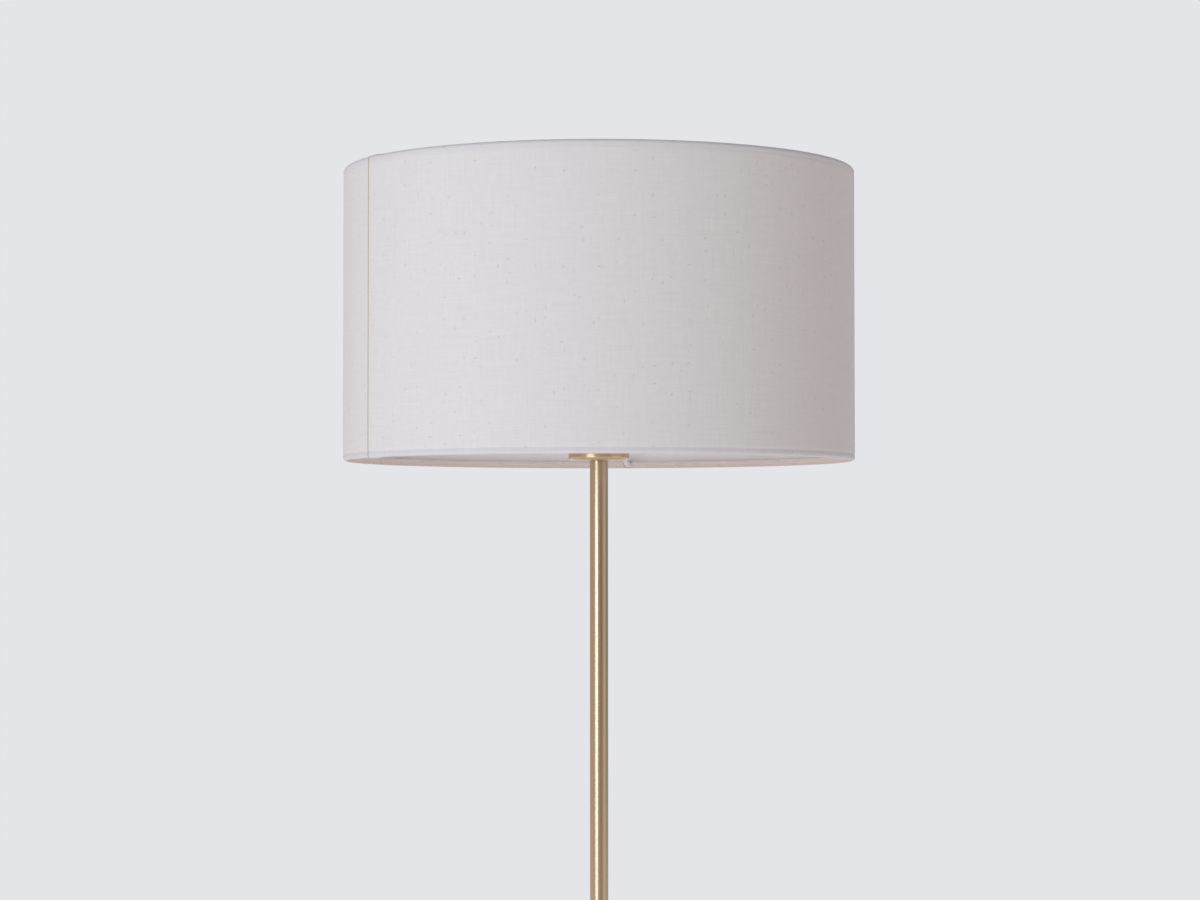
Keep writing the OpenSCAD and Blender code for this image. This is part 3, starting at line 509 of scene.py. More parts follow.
def plain_weave_linen(tree, shader):
    """Plain-woven natural linen and cotton: matt off-white, with yarn streaks and husk flecks."""
    shade = bpy.context.scene.lamp_shade
    sizes = cloth_sizes()
    half = sizes["Wall"] / 2
    turned_in = half + sizes["Roll"] * math.radians(80)      # where the margin starts
    point = add(tree, "ShaderNodeUVMap", uv_map=CLOTH_MAP).outputs[0]
    axes = add(tree, "ShaderNodeSeparateXYZ", {0: point}).outputs
    along, across = axes["X"], axes["Y"]

    # Yarns differ in thickness, which shows from afar as streaks both ways, 40 mm long
    yarns = []
    for run in ((45 * MM, 1.1 * MM), (1.3 * MM, 38 * MM)):
        scaled = add(tree, "ShaderNodeMapping", {
            "Vector": point, "Scale": (1 / run[0], 1 / run[1], 1)})
        yarns.append(add(tree, "ShaderNodeTexNoise", {
            "Vector": scaled, "Scale": 1.0, "Detail": 3.0, "Roughness": 0.6}))
    both = add(tree, "ShaderNodeMath", {0: yarns[0], 1: yarns[1]}, operation="ADD")
    mottle = add(tree, "ShaderNodeTexNoise", {"Vector": point, "Scale": 1 / (5 * MM), "Detail": 4.0})
    tone = add(tree, "ShaderNodeMath", {0: mottle, 1: 0.6, 2: both}, operation="MULTIPLY_ADD")
    streaked = add(tree, "ShaderNodeMapRange", {
        "Value": tone, "From Min": 0.9, "From Max": 1.7,
        "To Min": 1 - shade.streaks, "To Max": 1 + shade.streaks})
    colour = add(tree, "ShaderNodeVectorMath", {0: shade.cloth_colour, "Scale": streaked},
                 operation="SCALE").outputs[0]
    for cell, shift in (((8 * MM, 15 * MM), 0), ((15 * MM, 8 * MM), 17.3)):
        colour = husk_flecks(tree, point, colour, cell, shift, shade.flecks)

    off_middle = add(tree, "ShaderNodeMath", {0: across, 1: half}, operation="SUBTRACT")
    off_join = add(tree, "ShaderNodeMath", {0: along, 1: sizes["Join"]}, operation="SUBTRACT")
    away, beside_join = [add(tree, "ShaderNodeMath", {0: off}, operation="ABSOLUTE")
                         for off in (off_middle, off_join)]
    # What is tinted: by which distance, from where and over what width, from and to what strength
    ranges = {
        # The cut edge at the seam is soaked with glue
        "seam": (along, shade.seam_line, 0.3 * MM, 0.75, 0.0, "LINEAR"),
        # Painted shade: a darker band on the cloth just inside each wire, where the liner ends and the
        # cloth sinks into its groove
        "painted_edge_shade": (away, half - 3.6 * MM, 2 * MM, 0.0, 1.0, "SMOOTHSTEP"),
        # The margin turned round each wire: its tint is partly the glue-soaked cloth's own warm colour and
        # partly painted shade
        "margin": (away, turned_in, 1.5 * MM, 0.0, 1.0, "SMOOTHSTEP"),
        "join": (beside_join, 0.5 * MM, 0.5 * MM, 0.25, 0.0, "LINEAR"),
    }
    share = {}
    for name, (value, start, width, first, last, kind) in ranges.items():
        share[name] = add(tree, "ShaderNodeMapRange", {
            "Value": value, "From Min": start, "From Max": start + width,
            "To Min": first, "To Max": last}, interpolation_type=kind)
    joined = add(tree, "ShaderNodeMath", {0: share["join"], 1: share["margin"]}, operation="MULTIPLY")
    tints = (
        (share["seam"], shade.seam_colour, "MIX"), (share["painted_edge_shade"], shade.painted_edge_shade_colour, "MULTIPLY"),
        (share["margin"], shade.margin_tint_and_shade_colour, "MULTIPLY"),
        (joined, linear("#6E5F58"), "MIX"))
    for factor, tint, blend in tints:
        colour = add(tree, "ShaderNodeMix", {"Factor": factor, 6: colour, 7: tint},
                     data_type="RGBA", blend_type=blend).outputs[2]
    # The weave itself, two yarns each way to a 0.9 mm period, is felt only close up
    waves = []
    for run in (along, across):
        phase = add(tree, "ShaderNodeMath", {0: run, 1: TURN / (0.9 * MM)}, operation="MULTIPLY")
        waves.append(add(tree, "ShaderNodeMath", {0: phase}, operation="SINE"))
    weave = add(tree, "ShaderNodeMath", {0: waves[0], 1: waves[1]}, operation="MULTIPLY")
    height = add(tree, "ShaderNodeMath", {0: weave, 1: 0.25, 2: both}, operation="MULTIPLY_ADD")
    emboss(tree, shader, height, 0.06 * MM)
    plug(tree, shader, {"Base Color": colour, "Roughness": 0.92, "Specular IOR Level": 0.25,
                        "Sheen Weight": 0.12, "Sheen Roughness": 0.5})


FINISHES = {
    "felt": pressed_wool_felt, "cast_iron": sand_cast_iron, "brushed_brass": belt_brushed_brass,
    "zinc_plate": zinc_plated_steel, "rubber": moulded_rubber, "turned_brass": lathe_turned_brass,
    "white_nylon": moulded_nylon, "sheath_pvc": extruded_white_pvc, "brown_pvc": extruded_brown_pvc,
    "blue_pvc": extruded_blue_pvc, "white_thermoset": moulded_white_urea,
    "porcelain": unglazed_steatite, "tip_solder": frozen_solder, "black_glass": fused_black_glass,
    "cap_aluminium": rolled_aluminium, "clear_glass": blown_clear_glass,
    "phosphor": phosphor_silicone, "circuit_board": masked_circuit_board,
    "shade_linen": plain_weave_linen, "white_liner": calendered_white_liner,
    "white_powder_coat": powder_coated_steel,
}


def new_material(name):
    """A node material, with its tree and its shader."""
    made = bpy.data.materials.new(name)
    made.use_nodes = True
    return made, made.node_tree, made.node_tree.nodes["Principled BSDF"]


def finish(slot):
    """The material of a slot of the record, made when it is first asked for."""
    maker = FINISHES[slot]
    made = bpy.data.materials.get(maker.__name__)
    if made is None:
        made, tree, shader = new_material(maker.__name__)
        maker(tree, shader)
    return made


# ---------------------------------------------------------------- settings

Length = partial(bpy.props.FloatProperty, unit="LENGTH")
Angle = partial(bpy.props.FloatProperty, subtype="ANGLE")
Share = partial(bpy.props.FloatProperty, subtype="FACTOR")
Power = partial(bpy.props.FloatProperty, unit="POWER")
Colour = partial(bpy.props.FloatVectorProperty, subtype="COLOR")
Count = bpy.props.IntProperty


class LampStageSettings(bpy.types.PropertyGroup):
    camera_distance: Length(
        name="Camera distance", description="How far the camera stands in front of the column",
        default=2.7456)
    camera_side: Length(
        name="Camera side", description="How far the camera stands right of the column",
        default=0.0009)
    camera_height: Length(
        name="Camera height", description="Height of the lens above the floor", default=1.2138)
    camera_tilt: Angle(
        name="Camera tilt", description="How far the camera looks up", default=math.radians(1.895))
    camera_roll: Angle(
        name="Camera roll", description="How far the camera leans about its own axis",
        default=math.radians(-0.03))
    lens: bpy.props.FloatProperty(
        name="Lens", description="Focal length on a 36 mm wide picture", default=93.45,
        subtype="DISTANCE_CAMERA")
    backdrop: Colour(
        name="Backdrop", description="Colour of the paper behind the lamp",
        default=linear("#E4E5E9")[:3])
    room: Colour(
        name="Room light", description="Colour of the light from the walls and the ceiling",
        default=(0.34, 0.31, 0.305))
    bounce: Colour(
        name="Bounce", description="Colour of the light that the wide floor throws back",
        default=(0.88, 0.835, 0.83))
    dark_side: Angle(
        name="Dark side", description="Direction of the dark part of the room, right of the camera",
        default=math.radians(32))
    dark_share: Share(
        name="Dark share", description="How much darker that part is", default=0.74)
    bright_side: Angle(
        name="Bright side", description="Direction of the pale wall, left of the camera",
        default=math.radians(-85))
    bright_share: Share(
        name="Bright share", description="How much brighter that wall is", default=0.66)
    key_power: Power(
        name="Key light", description="Power of the softbox at the front left", default=18.8)
    fill_power: Power(
        name="Fill light", description="Power of the weaker softbox at the right", default=4.5)
    top_power: Power(
        name="Top light", description="Power of the small softbox over the shade's opening",
        default=0.45)
    floor_radius: Length(
        name="Floor radius", description="Radius of the pale floor", default=7.5)


class LampShadeSettings(bpy.types.PropertyGroup):
    seam_angle: Angle(
        name="Seam", description="Direction of the cloth's outer end, from +X",
        default=math.radians(209.8))
    join_angle: Angle(
        name="Inner join", description="Direction of the liner's overlap and the margin's join",
        default=math.radians(154.6))
    lap: Length(
        name="Lap", description="Width over which the cloth lies double", default=14 * MM)
    wrap: Angle(
        name="Wrap", description="How far the cloth goes round each wire",
        default=math.radians(240))
    tuck: Length(
        name="Tuck", description="Cloth left after the wrap, tucked against the liner",
        default=3.2 * MM)
    groove: Length(
        name="Groove", description="How far the cloth sinks between the wire and the liner",
        default=0.3 * MM)
    waviness: Length(
        name="Waviness", description="How far the cloth wanders from a true cylinder",
        default=0.12 * MM)
    streaks: Share(
        name="Streaks", description="Contrast of the thick and thin yarns", default=0.042)
    flecks: Share(
        name="Flecks", description="Share of the places that hold a husk fleck", default=0.13)
    seam_line: Length(
        name="Seam line", description="Width of the glue-soaked cut edge", default=1.6 * MM)
    cloth_colour: Colour(
        name="Cloth", description="Colour of the cloth", default=linear("#E5E2E2")[:3])
    seam_colour: Colour(
        name="Seam colour", description="Colour of the cut edge", size=4,
        default=linear("#D6B995"))
    # Painted shade: this tint darkens a band of the cloth just inside each wire
    painted_edge_shade_colour: Colour(
        name="Painted_edge_shade", description="What tints the cloth where no liner lies behind it", size=4,
        default=linear("#F4F5F9"))
    # Partly the margin's own warm, glue-soaked colour and partly painted shade, darker than the cloth
    margin_tint_and_shade_colour: Colour(
        name="Margin", description="What tints the margin turned round the wires", size=4,
        default=linear("#F0E1D4"))


class LampBrassSettings(bpy.types.PropertyGroup):
    colour: Colour(
        name="Brass", description="Colour of the lacquered brass", size=4,
        default=linear("#C5AC8B"))
    chamfer: Length(
        name="Chamfer", description="Chamfer on each tube's ends, which shows where they meet",
        default=0.35 * MM)
    edge: Length(
        name="Edge", description="Rounding of the sheet's free edges", default=0.3 * MM)


class LampHolderSettings(bpy.types.PropertyGroup):
    thread_pitch: Length(
        name="Skirt thread", description="Pitch of the thread that the shade ring runs on",
        default=2.6 * MM)
    thread_depth: Length(
        name="Thread depth", description="Depth of that thread", default=0.9 * MM)
    notches: Count(
        name="Notches", description="Finger notches round the ring and the shoulder", default=24,
        min=8, max=48)


class LampBulbSettings(bpy.types.PropertyGroup):
    pitch: Length(
        name="Cap thread", description="Height of one turn of the bulb's thread",
        default=3.629 * MM)
    depth: Length(
        name="Thread depth", description="Depth of the bulb's thread", default=0.85 * MM)
    glass: Length(
        name="Glass", description="Thickness of the globe's glass", default=0.7 * MM)
    chips: Count(
        name="Chips", description="Chips that swell each filament stick", default=26, min=4, max=60)


class LampBaseSettings(bpy.types.PropertyGroup):
    sheet: Length(
        name="Cover sheet", description="Thickness of the pressed brass cover", default=1 * MM)
    edge: Length(
        name="Cover edge", description="Radius of the cover's top edge", default=4 * MM)
    screws: Count(
        name="Screws", description="Screws in the recess plate", default=3, min=1, max=6)


# ---------------------------------------------------------------- stage


def softbox(name, colour, power, spot, **form):
    """An area light of this form, facing down."""
    data = bpy.data.lights.new(name, "AREA")
    data.color, data.energy = linear(colour)[:3], power
    for key, value in form.items():
        setattr(data, key, value)
    lamp = new_object(name, data)
    lamp.location = spot
    return lamp


class LampStage(bpy.types.Operator):
    """Makes the camera, the lights, the plain background and the floor"""
    bl_idname = "column_lamp.stage"
    bl_label = "Stage"

    def execute(self, context):
        stage = context.scene.lamp_stage
        self.camera(context, stage)
        self.light(stage)
        self.world(context, stage)
        self.floor(stage)
        return {"FINISHED"}

    def camera(self, context, stage):
        data = bpy.data.cameras.new("camera")
        data.sensor_width, data.lens = 36, stage.lens
        data.clip_start, data.clip_end = 0.05, 60
        camera = new_object("camera", data)
        camera.location = (stage.camera_side, -stage.camera_distance, stage.camera_height)
        aim = Matrix.Rotation(math.pi / 2 + stage.camera_tilt, 4, "X")
        roll = Matrix.Rotation(stage.camera_roll, 4, "Z")
        camera.rotation_euler = (aim @ roll).to_euler()
        context.scene.camera = camera
        context.scene.view_settings.view_transform = "Standard"

    def light(self, stage):
        # name, direction and distance from the shade, height, width and height of the box, power, colour
        boxes = [
            ("key_softbox", -32, 2.2, 1.3, 1.1, 1.4, stage.key_power, "#EAF7FF"),
            ("fill_softbox", 68, 2.6, 1.4, 2.0, 2.2, stage.fill_power, "#FFF3EC"),
        ]
        for name, side, away, height, width, tall, power, colour in boxes:
            angle = math.radians(side)
            spot = (away * math.sin(angle), -away * math.cos(angle), height)
            lamp = softbox(name, colour, power, spot, shape="RECTANGLE", size=width, size_y=tall)
            aim = Vector((0, 0, 1.3)) - lamp.location
            lamp.rotation_euler = aim.to_track_quat("-Z", "Y").to_euler()
        # It lights the drum's inside, which daylight through the cloth would otherwise do
        softbox("top_softbox", "#F0F6FF", stage.top_power, (0, 0, cad_high[2] + 20 * MM),
                shape="DISK", size=0.4)

    def world(self, context, stage):
        world = bpy.data.worlds.new("studio")
        world.use_nodes = True
        tree = world.node_tree
        tree.nodes.clear()
        looking = add(tree, "ShaderNodeTexCoord").outputs["Generated"]
        level = 1.0
        # side, reach of the change as cosines, and how much it adds
        for side, start, full, more in (
                (stage.dark_side, 0.86, 0.99, -stage.dark_share),
                (stage.bright_side, 0.2, 1.0, stage.bright_share)):
            aim = (math.sin(side), -math.cos(side), 0)
            near = add(tree, "ShaderNodeVectorMath", {0: looking, 1: aim}, operation="DOT_PRODUCT")
            change = add(tree, "ShaderNodeMapRange", {
                "Value": near.outputs["Value"], "From Min": start, "From Max": full,
                "To Min": 0.0, "To Max": more}, interpolation_type="SMOOTHSTEP")
            level = add(tree, "ShaderNodeMath", {0: level, 1: change}, operation="ADD")
        room = add(tree, "ShaderNodeBackground", {"Color": (*stage.room, 1), "Strength": level})
        paper = add(tree, "ShaderNodeBackground", {"Color": (*stage.backdrop, 1)})
        seen = add(tree, "ShaderNodeLightPath").outputs["Is Camera Ray"]
        both = add(tree, "ShaderNodeMixShader", {0: seen, 1: room, 2: paper})
        add(tree, "ShaderNodeOutputWorld", {"Surface": both})
        context.scene.world = world

    def floor(self, stage):
        sides = 96
        rim = [(x, y, 0) for x, y in arc((0, 0), stage.floor_radius, 0, 360, sides)[:-1]]
        floor = mesh_object("floor", rim, [list(range(sides))])
        material, tree, shader = new_material("pale_paper_floor")
        vary(tree, shader, grain(tree, 0.8), linear("#E2E3E7"), 0.01, 0.9, 0.02)
        # Far out the floor turns into the backdrop's own flat colour, so that it has no edge
        point = add(tree, "ShaderNodeTexCoord").outputs["Object"]
        away = add(tree, "ShaderNodeVectorMath", {0: point}, operation="LENGTH").outputs["Value"]
        far = add(tree, "ShaderNodeMapRange", {
            "Value": away, "From Min": 0.3, "From Max": 4.0, "To Min": 0.72},
            interpolation_type="SMOOTHSTEP")
        seen = add(tree, "ShaderNodeLightPath").outputs["Is Camera Ray"]
        colour = add(tree, "ShaderNodeMix", {
            "Factor": seen, 6: (*stage.bounce, 1), 7: (*stage.backdrop, 1)}, data_type="RGBA")
        glow = add(tree, "ShaderNodeEmission", {"Color": colour.outputs[2]})
        both = add(tree, "ShaderNodeMixShader", {0: far, 1: shader, 2: glow})
        plug(tree, tree.nodes["Material Output"], {"Surface": both})
        floor.data.materials.append(material)


# ---------------------------------------------------------------- shade

CLOTH_SIZES = ("Radius", "Ring", "Roll", "High", "Wall", "Length", "Seam", "Lap", "Step",
               "Wrap", "Tuck", "Groove", "Waviness", "Slit")


def cloth_sizes():
    """Sizes of the wrapped cloth, from the shade's settings and the construction model's nodes."""
    shade = bpy.context.scene.lamp_shade
    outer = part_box("shade_cloth")[1].x
    wire_low, wire_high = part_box("bottom_hoop")
    wire = (wire_high.z - wire_low.z) / 2
    ring = wire_high.x - wire
    high = middle_z("top_hoop")
    gap = 0.05 * MM                # between the cloth and what it lies on
    thickness = outer - ring - wire - gap
    return {
        "Radius": outer, "Ring": ring, "Roll": outer - ring, "High": high,
        "Wall": high - middle_z("bottom_hoop"), "Thickness": thickness, "Step": thickness + gap,
        "Length": TURN * outer + shade.lap,
        "Join": (shade.join_angle - shade.seam_angle) % TURN * outer,
    }


def cloth_tree(material):
    """A strip of cloth laid on a grid, then wrapped round the drum and round both wires."""
    tree = new_tree("wrapped_cloth", {
        **{name: ("Float", 0.0) for name in CLOTH_SIZES},
        "Columns": ("Int", 480), "Rows": ("Int", 90), "Seed": ("Float", 4.0)})
    size = add(tree, "NodeGroupInput").outputs
    grid = add(tree, "GeometryNodeMeshGrid", {
        "Size X": 1.0, "Size Y": 1.0, "Vertices X": size["Columns"], "Vertices Y": size["Rows"]})
    axes = add(tree, "ShaderNodeSeparateXYZ", {0: add(tree, "GeometryNodeInputPosition")}).outputs
    edge_rows = 0.3                # share of the rows in each turned edge
    edge_run = 7 * MM              # how far these rows run up the wall
    ease = 9 * MM                  # over which the doubled end settles on the wall
    groove_place = 2.5 * MM        # from the wire's middle
    groove_width = 1.3 * MM
    pucker_reach = 11 * MM
    # Slow waves all over, and small puckers that die out away from the wires
    flat = add(tree, "ShaderNodeCombineXYZ", {"Z": size["Seed"]})
    drawn = add(tree, "ShaderNodeVectorMath", {0: flat, 1: (1 / (9 * MM), 1 / (40 * MM), 3.0)},
                operation="MULTIPLY")
    known = {name: size[name] for name in CLOTH_SIZES} | {
        "grid x": axes["X"], "grid y": axes["Y"], "slit": 0.0,
        "waves": add(tree, "ShaderNodeTexNoise", {"Vector": flat, "Scale": 1 / (34 * MM), "Detail": 2.0}),
        "puckers": add(tree, "ShaderNodeTexNoise", {"Vector": drawn, "Scale": 1.0, "Detail": 1.0})}
    # A step is a name, what its Math node does, and one or two numbers or earlier names
    steps = [
        ("share along", "ADD", "grid x", 0.5), ("along", "MULTIPLY", "share along", "Length"),
        ("across", "ADD", "grid y", 0.5),
        # The outer end stands one thickness proud, and settles after the lap
        ("past lap", "SUBTRACT", "along", "Lap"), ("past share", "DIVIDE", "past lap", ease),
        ("past most", "MINIMUM", "past share", 1.0), ("past", "MAXIMUM", "past most", 0.0),
        ("left", "SUBTRACT", 1.0, "past"), ("lift", "MULTIPLY", "left", "Step"),
        ("roll", "ADD", "Roll", "lift"),
        # Rows are closer together in the turned edges
        ("turn run", "MULTIPLY", "roll", "Wrap"), ("edge", "ADD", "turn run", "Tuck"),
        ("whole edge", "ADD", "edge", edge_run), ("first share", "DIVIDE", "across", edge_rows),
        ("first most", "MINIMUM", "first share", 1.0), ("first", "MULTIPLY", "first most", "whole edge"),
        ("last rest", "SUBTRACT", "across", 1 - edge_rows),
        ("last share", "DIVIDE", "last rest", edge_rows),
        ("last least", "MAXIMUM", "last share", 0.0), ("last", "MULTIPLY", "last least", "whole edge"),
        ("mid rest", "SUBTRACT", "across", edge_rows),
        ("mid share", "DIVIDE", "mid rest", 1 - 2 * edge_rows),
        ("mid least", "MAXIMUM", "mid share", 0.0), ("mid most", "MINIMUM", "mid least", 1.0),
        ("mid run", "SUBTRACT", "Wall", 2 * edge_run), ("mid", "MULTIPLY", "mid most", "mid run"),
        ("both edges", "ADD", "first", "last"), ("run", "ADD", "both edges", "mid"),
        # From the run to the straight wall
        ("down", "SUBTRACT", "run", "edge"), ("up", "MULTIPLY", "down", -1.0),
        ("past wall", "SUBTRACT", "down", "Wall"), ("wall least", "MAXIMUM", "down", 0.0),
        ("wall", "MINIMUM", "wall least", "Wall"), ("wall up", "SUBTRACT", "Wall", "wall"),
    ]
    for side, way, wall_way in (("top", "up", "wall"), ("low", "past wall", "wall up")):
        steps += [
            # The turn round this wire, and the tuck after it
            (side + " share", "DIVIDE", way, "roll"), (side + " least", "MAXIMUM", side + " share", 0.0),
            (side + " turn", "MINIMUM", side + " least", "Wrap"),
            (side + " cosine", "COSINE", side + " turn"), (side + " sine", "SINE", side + " turn"),
            (side + " over", "SUBTRACT", way, "turn run"), (side + " tuck", "MAXIMUM", side + " over", 0.0),
            # The wall sinks a little between this wire and the liner
            (side + " off", "SUBTRACT", wall_way, groove_place),
            (side + " reach", "DIVIDE", side + " off", groove_width),
            (side + " square", "MULTIPLY", side + " reach", side + " reach"),
            (side + " minus", "MULTIPLY", side + " square", -1.0),
            (side + " dip", "EXPONENT", side + " minus")]
    steps += [
        ("wrap cosine", "COSINE", "Wrap"), ("wrap sine", "SINE", "Wrap"),
        ("cosines", "ADD", "top cosine", "low cosine"), ("turned in", "SUBTRACT", "cosines", 1.0),
        ("roll out", "MULTIPLY", "turned in", "roll"), ("ring out", "ADD", "Ring", "roll out"),
        ("tucks", "ADD", "top tuck", "low tuck"), ("tucks out", "MULTIPLY", "tucks", "wrap sine"),
        ("plain out", "SUBTRACT", "ring out", "tucks out"),
        ("sines", "SUBTRACT", "top sine", "low sine"), ("roll up", "MULTIPLY", "sines", "roll"),
        ("wire up", "ADD", "High", "roll up"), ("plain up", "SUBTRACT", "wire up", "wall"),
        ("tuck change", "SUBTRACT", "top tuck", "low tuck"),
        ("tucks up", "MULTIPLY", "tuck change", "wrap cosine"), ("z", "ADD", "plain up", "tucks up"),
        ("dips", "ADD", "top dip", "low dip"), ("sink", "MULTIPLY", "dips", "Groove"),
        ("near wire", "MINIMUM", "wall", "wall up"), ("near share", "DIVIDE", "near wire", -pucker_reach),
        ("near fade", "EXPONENT", "near share"), ("wave", "SUBTRACT", "waves", 0.5),
        ("pucker", "SUBTRACT", "puckers", 0.5), ("pucker here", "MULTIPLY", "pucker", "near fade"),
        ("wander", "ADD", "wave", "pucker here"), ("wavy", "MULTIPLY", "wander", "Waviness"),
        ("sunk out", "SUBTRACT", "plain out", "sink"), ("r", "ADD", "sunk out", "wavy"),
        ("round", "DIVIDE", "along", "Radius"), ("angle", "ADD", "round", "Seam"),
        ("cosine", "COSINE", "angle"), ("sine", "SINE", "angle"),
        ("x", "MULTIPLY", "r", "cosine"), ("y", "MULTIPLY", "r", "sine"),
    ]
    # The margin is slit where an arm of the spider reaches the lower wire
    radius, seam = cloth_sizes()["Radius"], bpy.context.scene.lamp_shade.seam_angle
    for arm in ARM_ANGLES:
        steps += [
            ("off arm", "SUBTRACT", "along", (arm - seam) % TURN * radius),
            ("beside arm", "ABSOLUTE", "off arm"), ("slit here", "LESS_THAN", "beside arm", "Slit"),
            ("slit", "MAXIMUM", "slit", "slit here")]
    steps += [("under", "GREATER_THAN", "low turn", math.radians(115)),
              ("taken", "MULTIPLY", "slit", "under")]
    for name, operation, *terms in steps:
        inputs = {i: known.get(term, term) for i, term in enumerate(terms)}
        known[name] = add(tree, "ShaderNodeMath", inputs, operation=operation)
    plug(tree, flat, {"X": known["along"], "Y": known["wall"]})
    spot = add(tree, "ShaderNodeCombineXYZ", {"X": known["x"], "Y": known["y"], "Z": known["z"]})
    map_point = add(tree, "ShaderNodeCombineXYZ", {"X": known["along"], "Y": known["down"]})
    mapped = add(tree, "GeometryNodeStoreNamedAttribute", {
        "Geometry": grid.outputs["Mesh"], "Name": CLOTH_MAP, "Value": map_point},
        data_type="FLOAT2", domain="CORNER")
    kept_cut = add(tree, "GeometryNodeCaptureAttribute", {"Geometry": mapped}, domain="FACE")
    kept_cut.capture_items.new("FLOAT", "cut")
    plug(tree, kept_cut, {"cut": known["taken"]})
    wrapped = add(tree, "GeometryNodeSetPosition", {"Geometry": kept_cut, "Position": spot})
    left = add(tree, "GeometryNodeDeleteGeometry", {
        "Geometry": wrapped, "Selection": kept_cut.outputs["cut"]}, domain="FACE")
    return end_tree(tree, add(tree, "GeometryNodeSetShadeSmooth", {"Geometry": left}), material)


class LampShadeCloth(bpy.types.Operator):
    """Wraps one strip of linen round the drum, with its lap, and turns its margins round the wires"""
    bl_idname = "column_lamp.shade_cloth"
    bl_label = "Shade cloth"

    def execute(self, context):
        shade = context.scene.lamp_shade
        sizes = cloth_sizes()
        cloth = grow("linen_cloth", cloth_tree(finish("shade_linen")), {
            **{name: sizes[name] for name in CLOTH_SIZES if name in sizes},
            "Seam": shade.seam_angle, "Lap": shade.lap, "Wrap": shade.wrap, "Tuck": shade.tuck,
            "Groove": shade.groove, "Waviness": shade.waviness, "Slit": 2.6 * MM})
        thicken(cloth, sizes["Thickness"])
        place(cloth, "shade", "shade_linen", "shade_cloth", "shade_seam_lap", "top_edge_roll",
              "bottom_edge_roll")
        return {"FINISHED"}


class LampShadeLiner(bpy.types.Operator):
    """Rolls the white sheet behind the cloth, overlapped inside"""
    bl_idname = "column_lamp.shade_liner"
    bl_label = "Shade liner"

    def execute(self, context):
        shade = context.scene.lamp_shade
        low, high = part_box("shade_liner")
        thickness, gap, lap, ease = 0.5 * MM, 0.05 * MM, 9 * MM, 5 * MM
        radius = high.x
        length = TURN * radius + lap
        columns, rows = 420, 8
        points = []
        for i in range(columns + 1):
            along = length * i / columns
            under = fade(along, length - lap - ease, length - lap)
            reach = radius - (thickness + gap) * under
            angle = shade.join_angle + along / radius
            x, y = reach * math.cos(angle), reach * math.sin(angle)
            points += [(x, y, low.z + (high.z - low.z) * k / rows) for k in range(rows + 1)]
        row = rows + 1
        starts = [i * row + k for i in range(columns) for k in range(rows)]
        faces = [(s, s + row, s + row + 1, s + 1) for s in starts]
        liner = mesh_object("white_liner_sheet", points, faces)
        thicken(liner, thickness)
        place(liner, "shade", "white_liner", "shade_liner")
        return {"FINISHED"}


def spider_tree(material):
    """Round bars that leave a plate and end at a ring, each with a weld at both ends."""
    tree = new_tree("welded_arms", {
        "Count": ("Int", 3), "First": ("Float", 0.0), "Radius": ("Float", 2 * MM),
        "Foot": ("Vector", None), "Head": ("Vector", None), "Weld": ("Float", 3 * MM)})
    size = add(tree, "NodeGroupInput").outputs
    parts = [bar(tree, size, 24, 20)]
    for end, stretch in (("Foot", (1.5, 1.1, 0.8)), ("Head", (0.8, 1.25, 0.95))):
        bead = add(tree, "GeometryNodeMeshUVSphere", {
            "Segments": 18, "Rings": 10, "Radius": size["Weld"]})
        parts.append(add(tree, "GeometryNodeTransform", {
            "Geometry": bead, "Translation": size[end], "Scale": stretch}))
    joined = add(tree, "GeometryNodeJoinGeometry")
    for part in reversed(parts):
        plug(tree, joined, {0: part})
    return fan(tree, size, joined, material)


class LampShadeFrame(bpy.types.Operator):
    """Makes the spider's plate and its three welded arms"""
    bl_idname = "column_lamp.shade_frame"
    bl_label = "Shade frame"

    def execute(self, context):
        low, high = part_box("spider_plate")
        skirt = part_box("holder_skirt")[1].x
        ring = cloth_sizes()["Ring"]
        wire, gap, edge = 2 * MM, 0.05 * MM, 0.35 * MM
        arms = grow("spider_arms", spider_tree(finish("white_powder_coat")), {
            "First": ARM_ANGLES[0], "Radius": wire, "Weld": 2.4 * MM,
            "Foot": Vector((skirt + 1.5 * MM, 0, low.z - wire - gap)),
            "Head": Vector((ring - 1.2 * wire, 0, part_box("spider_arm_rear")[0].z + wire))})
        place(arms, "shade", "white_powder_coat", "spider_arm_rear", "spider_arm_left", "spider_arm_right")
        bore, outer = skirt - 1.9 * MM, high.x
        outline = [
            (bore, low.z + edge), (bore + edge, low.z), (outer - edge, low.z), (outer, low.z + edge),
            (outer, high.z - edge), (outer - edge, high.z), (bore + edge, high.z), (bore, high.z - edge)]
        place(turned("spider_centre_plate", outline, 96), "shade", "white_powder_coat", "spider_plate")
        return {"FINISHED"}


# ---------------------------------------------------------------- column and cup


class LampColumn(bpy.types.Operator):
    """Makes the three brass tubes, whose chamfered ends show where they are screwed together"""
    bl_idname = "column_lamp.column"
    bl_label = "Column"

    def execute(self, context):
        chamfer = context.scene.lamp_brass.chamfer
        wall = 1 * MM
        for node in ("lower_tube", "middle_tube", "upper_tube"):
            low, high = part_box(node)
            outer, bore = high.x, high.x - wall
            side = fine_line([(outer, low.z + chamfer), (outer, high.z - chamfer)], 30 * MM)
            end = outer - chamfer
            outline = [(bore, low.z), (end, low.z), *side, (end, high.z), (bore, high.z)]
            place(turned("brass_" + node, outline, 96), "stand", "brushed_brass", node)
        return {"FINISHED"}


def dish_outline(radius, bore, height, sheet, edge, lip):
    """Half outline of a round pan of sheet metal, open at the top, with a rolled lower edge."""
    return [
        (bore, 0), *arc((radius - edge, edge), edge, -90, 0, 10),
        *arc((radius - lip, height - lip), lip, 0, 90, 4),
        *arc((radius - sheet + lip, height - lip), lip, 90, 180, 4),
        *arc((radius - edge, edge), edge - sheet, 0, -90, 8), (bore, sheet)]


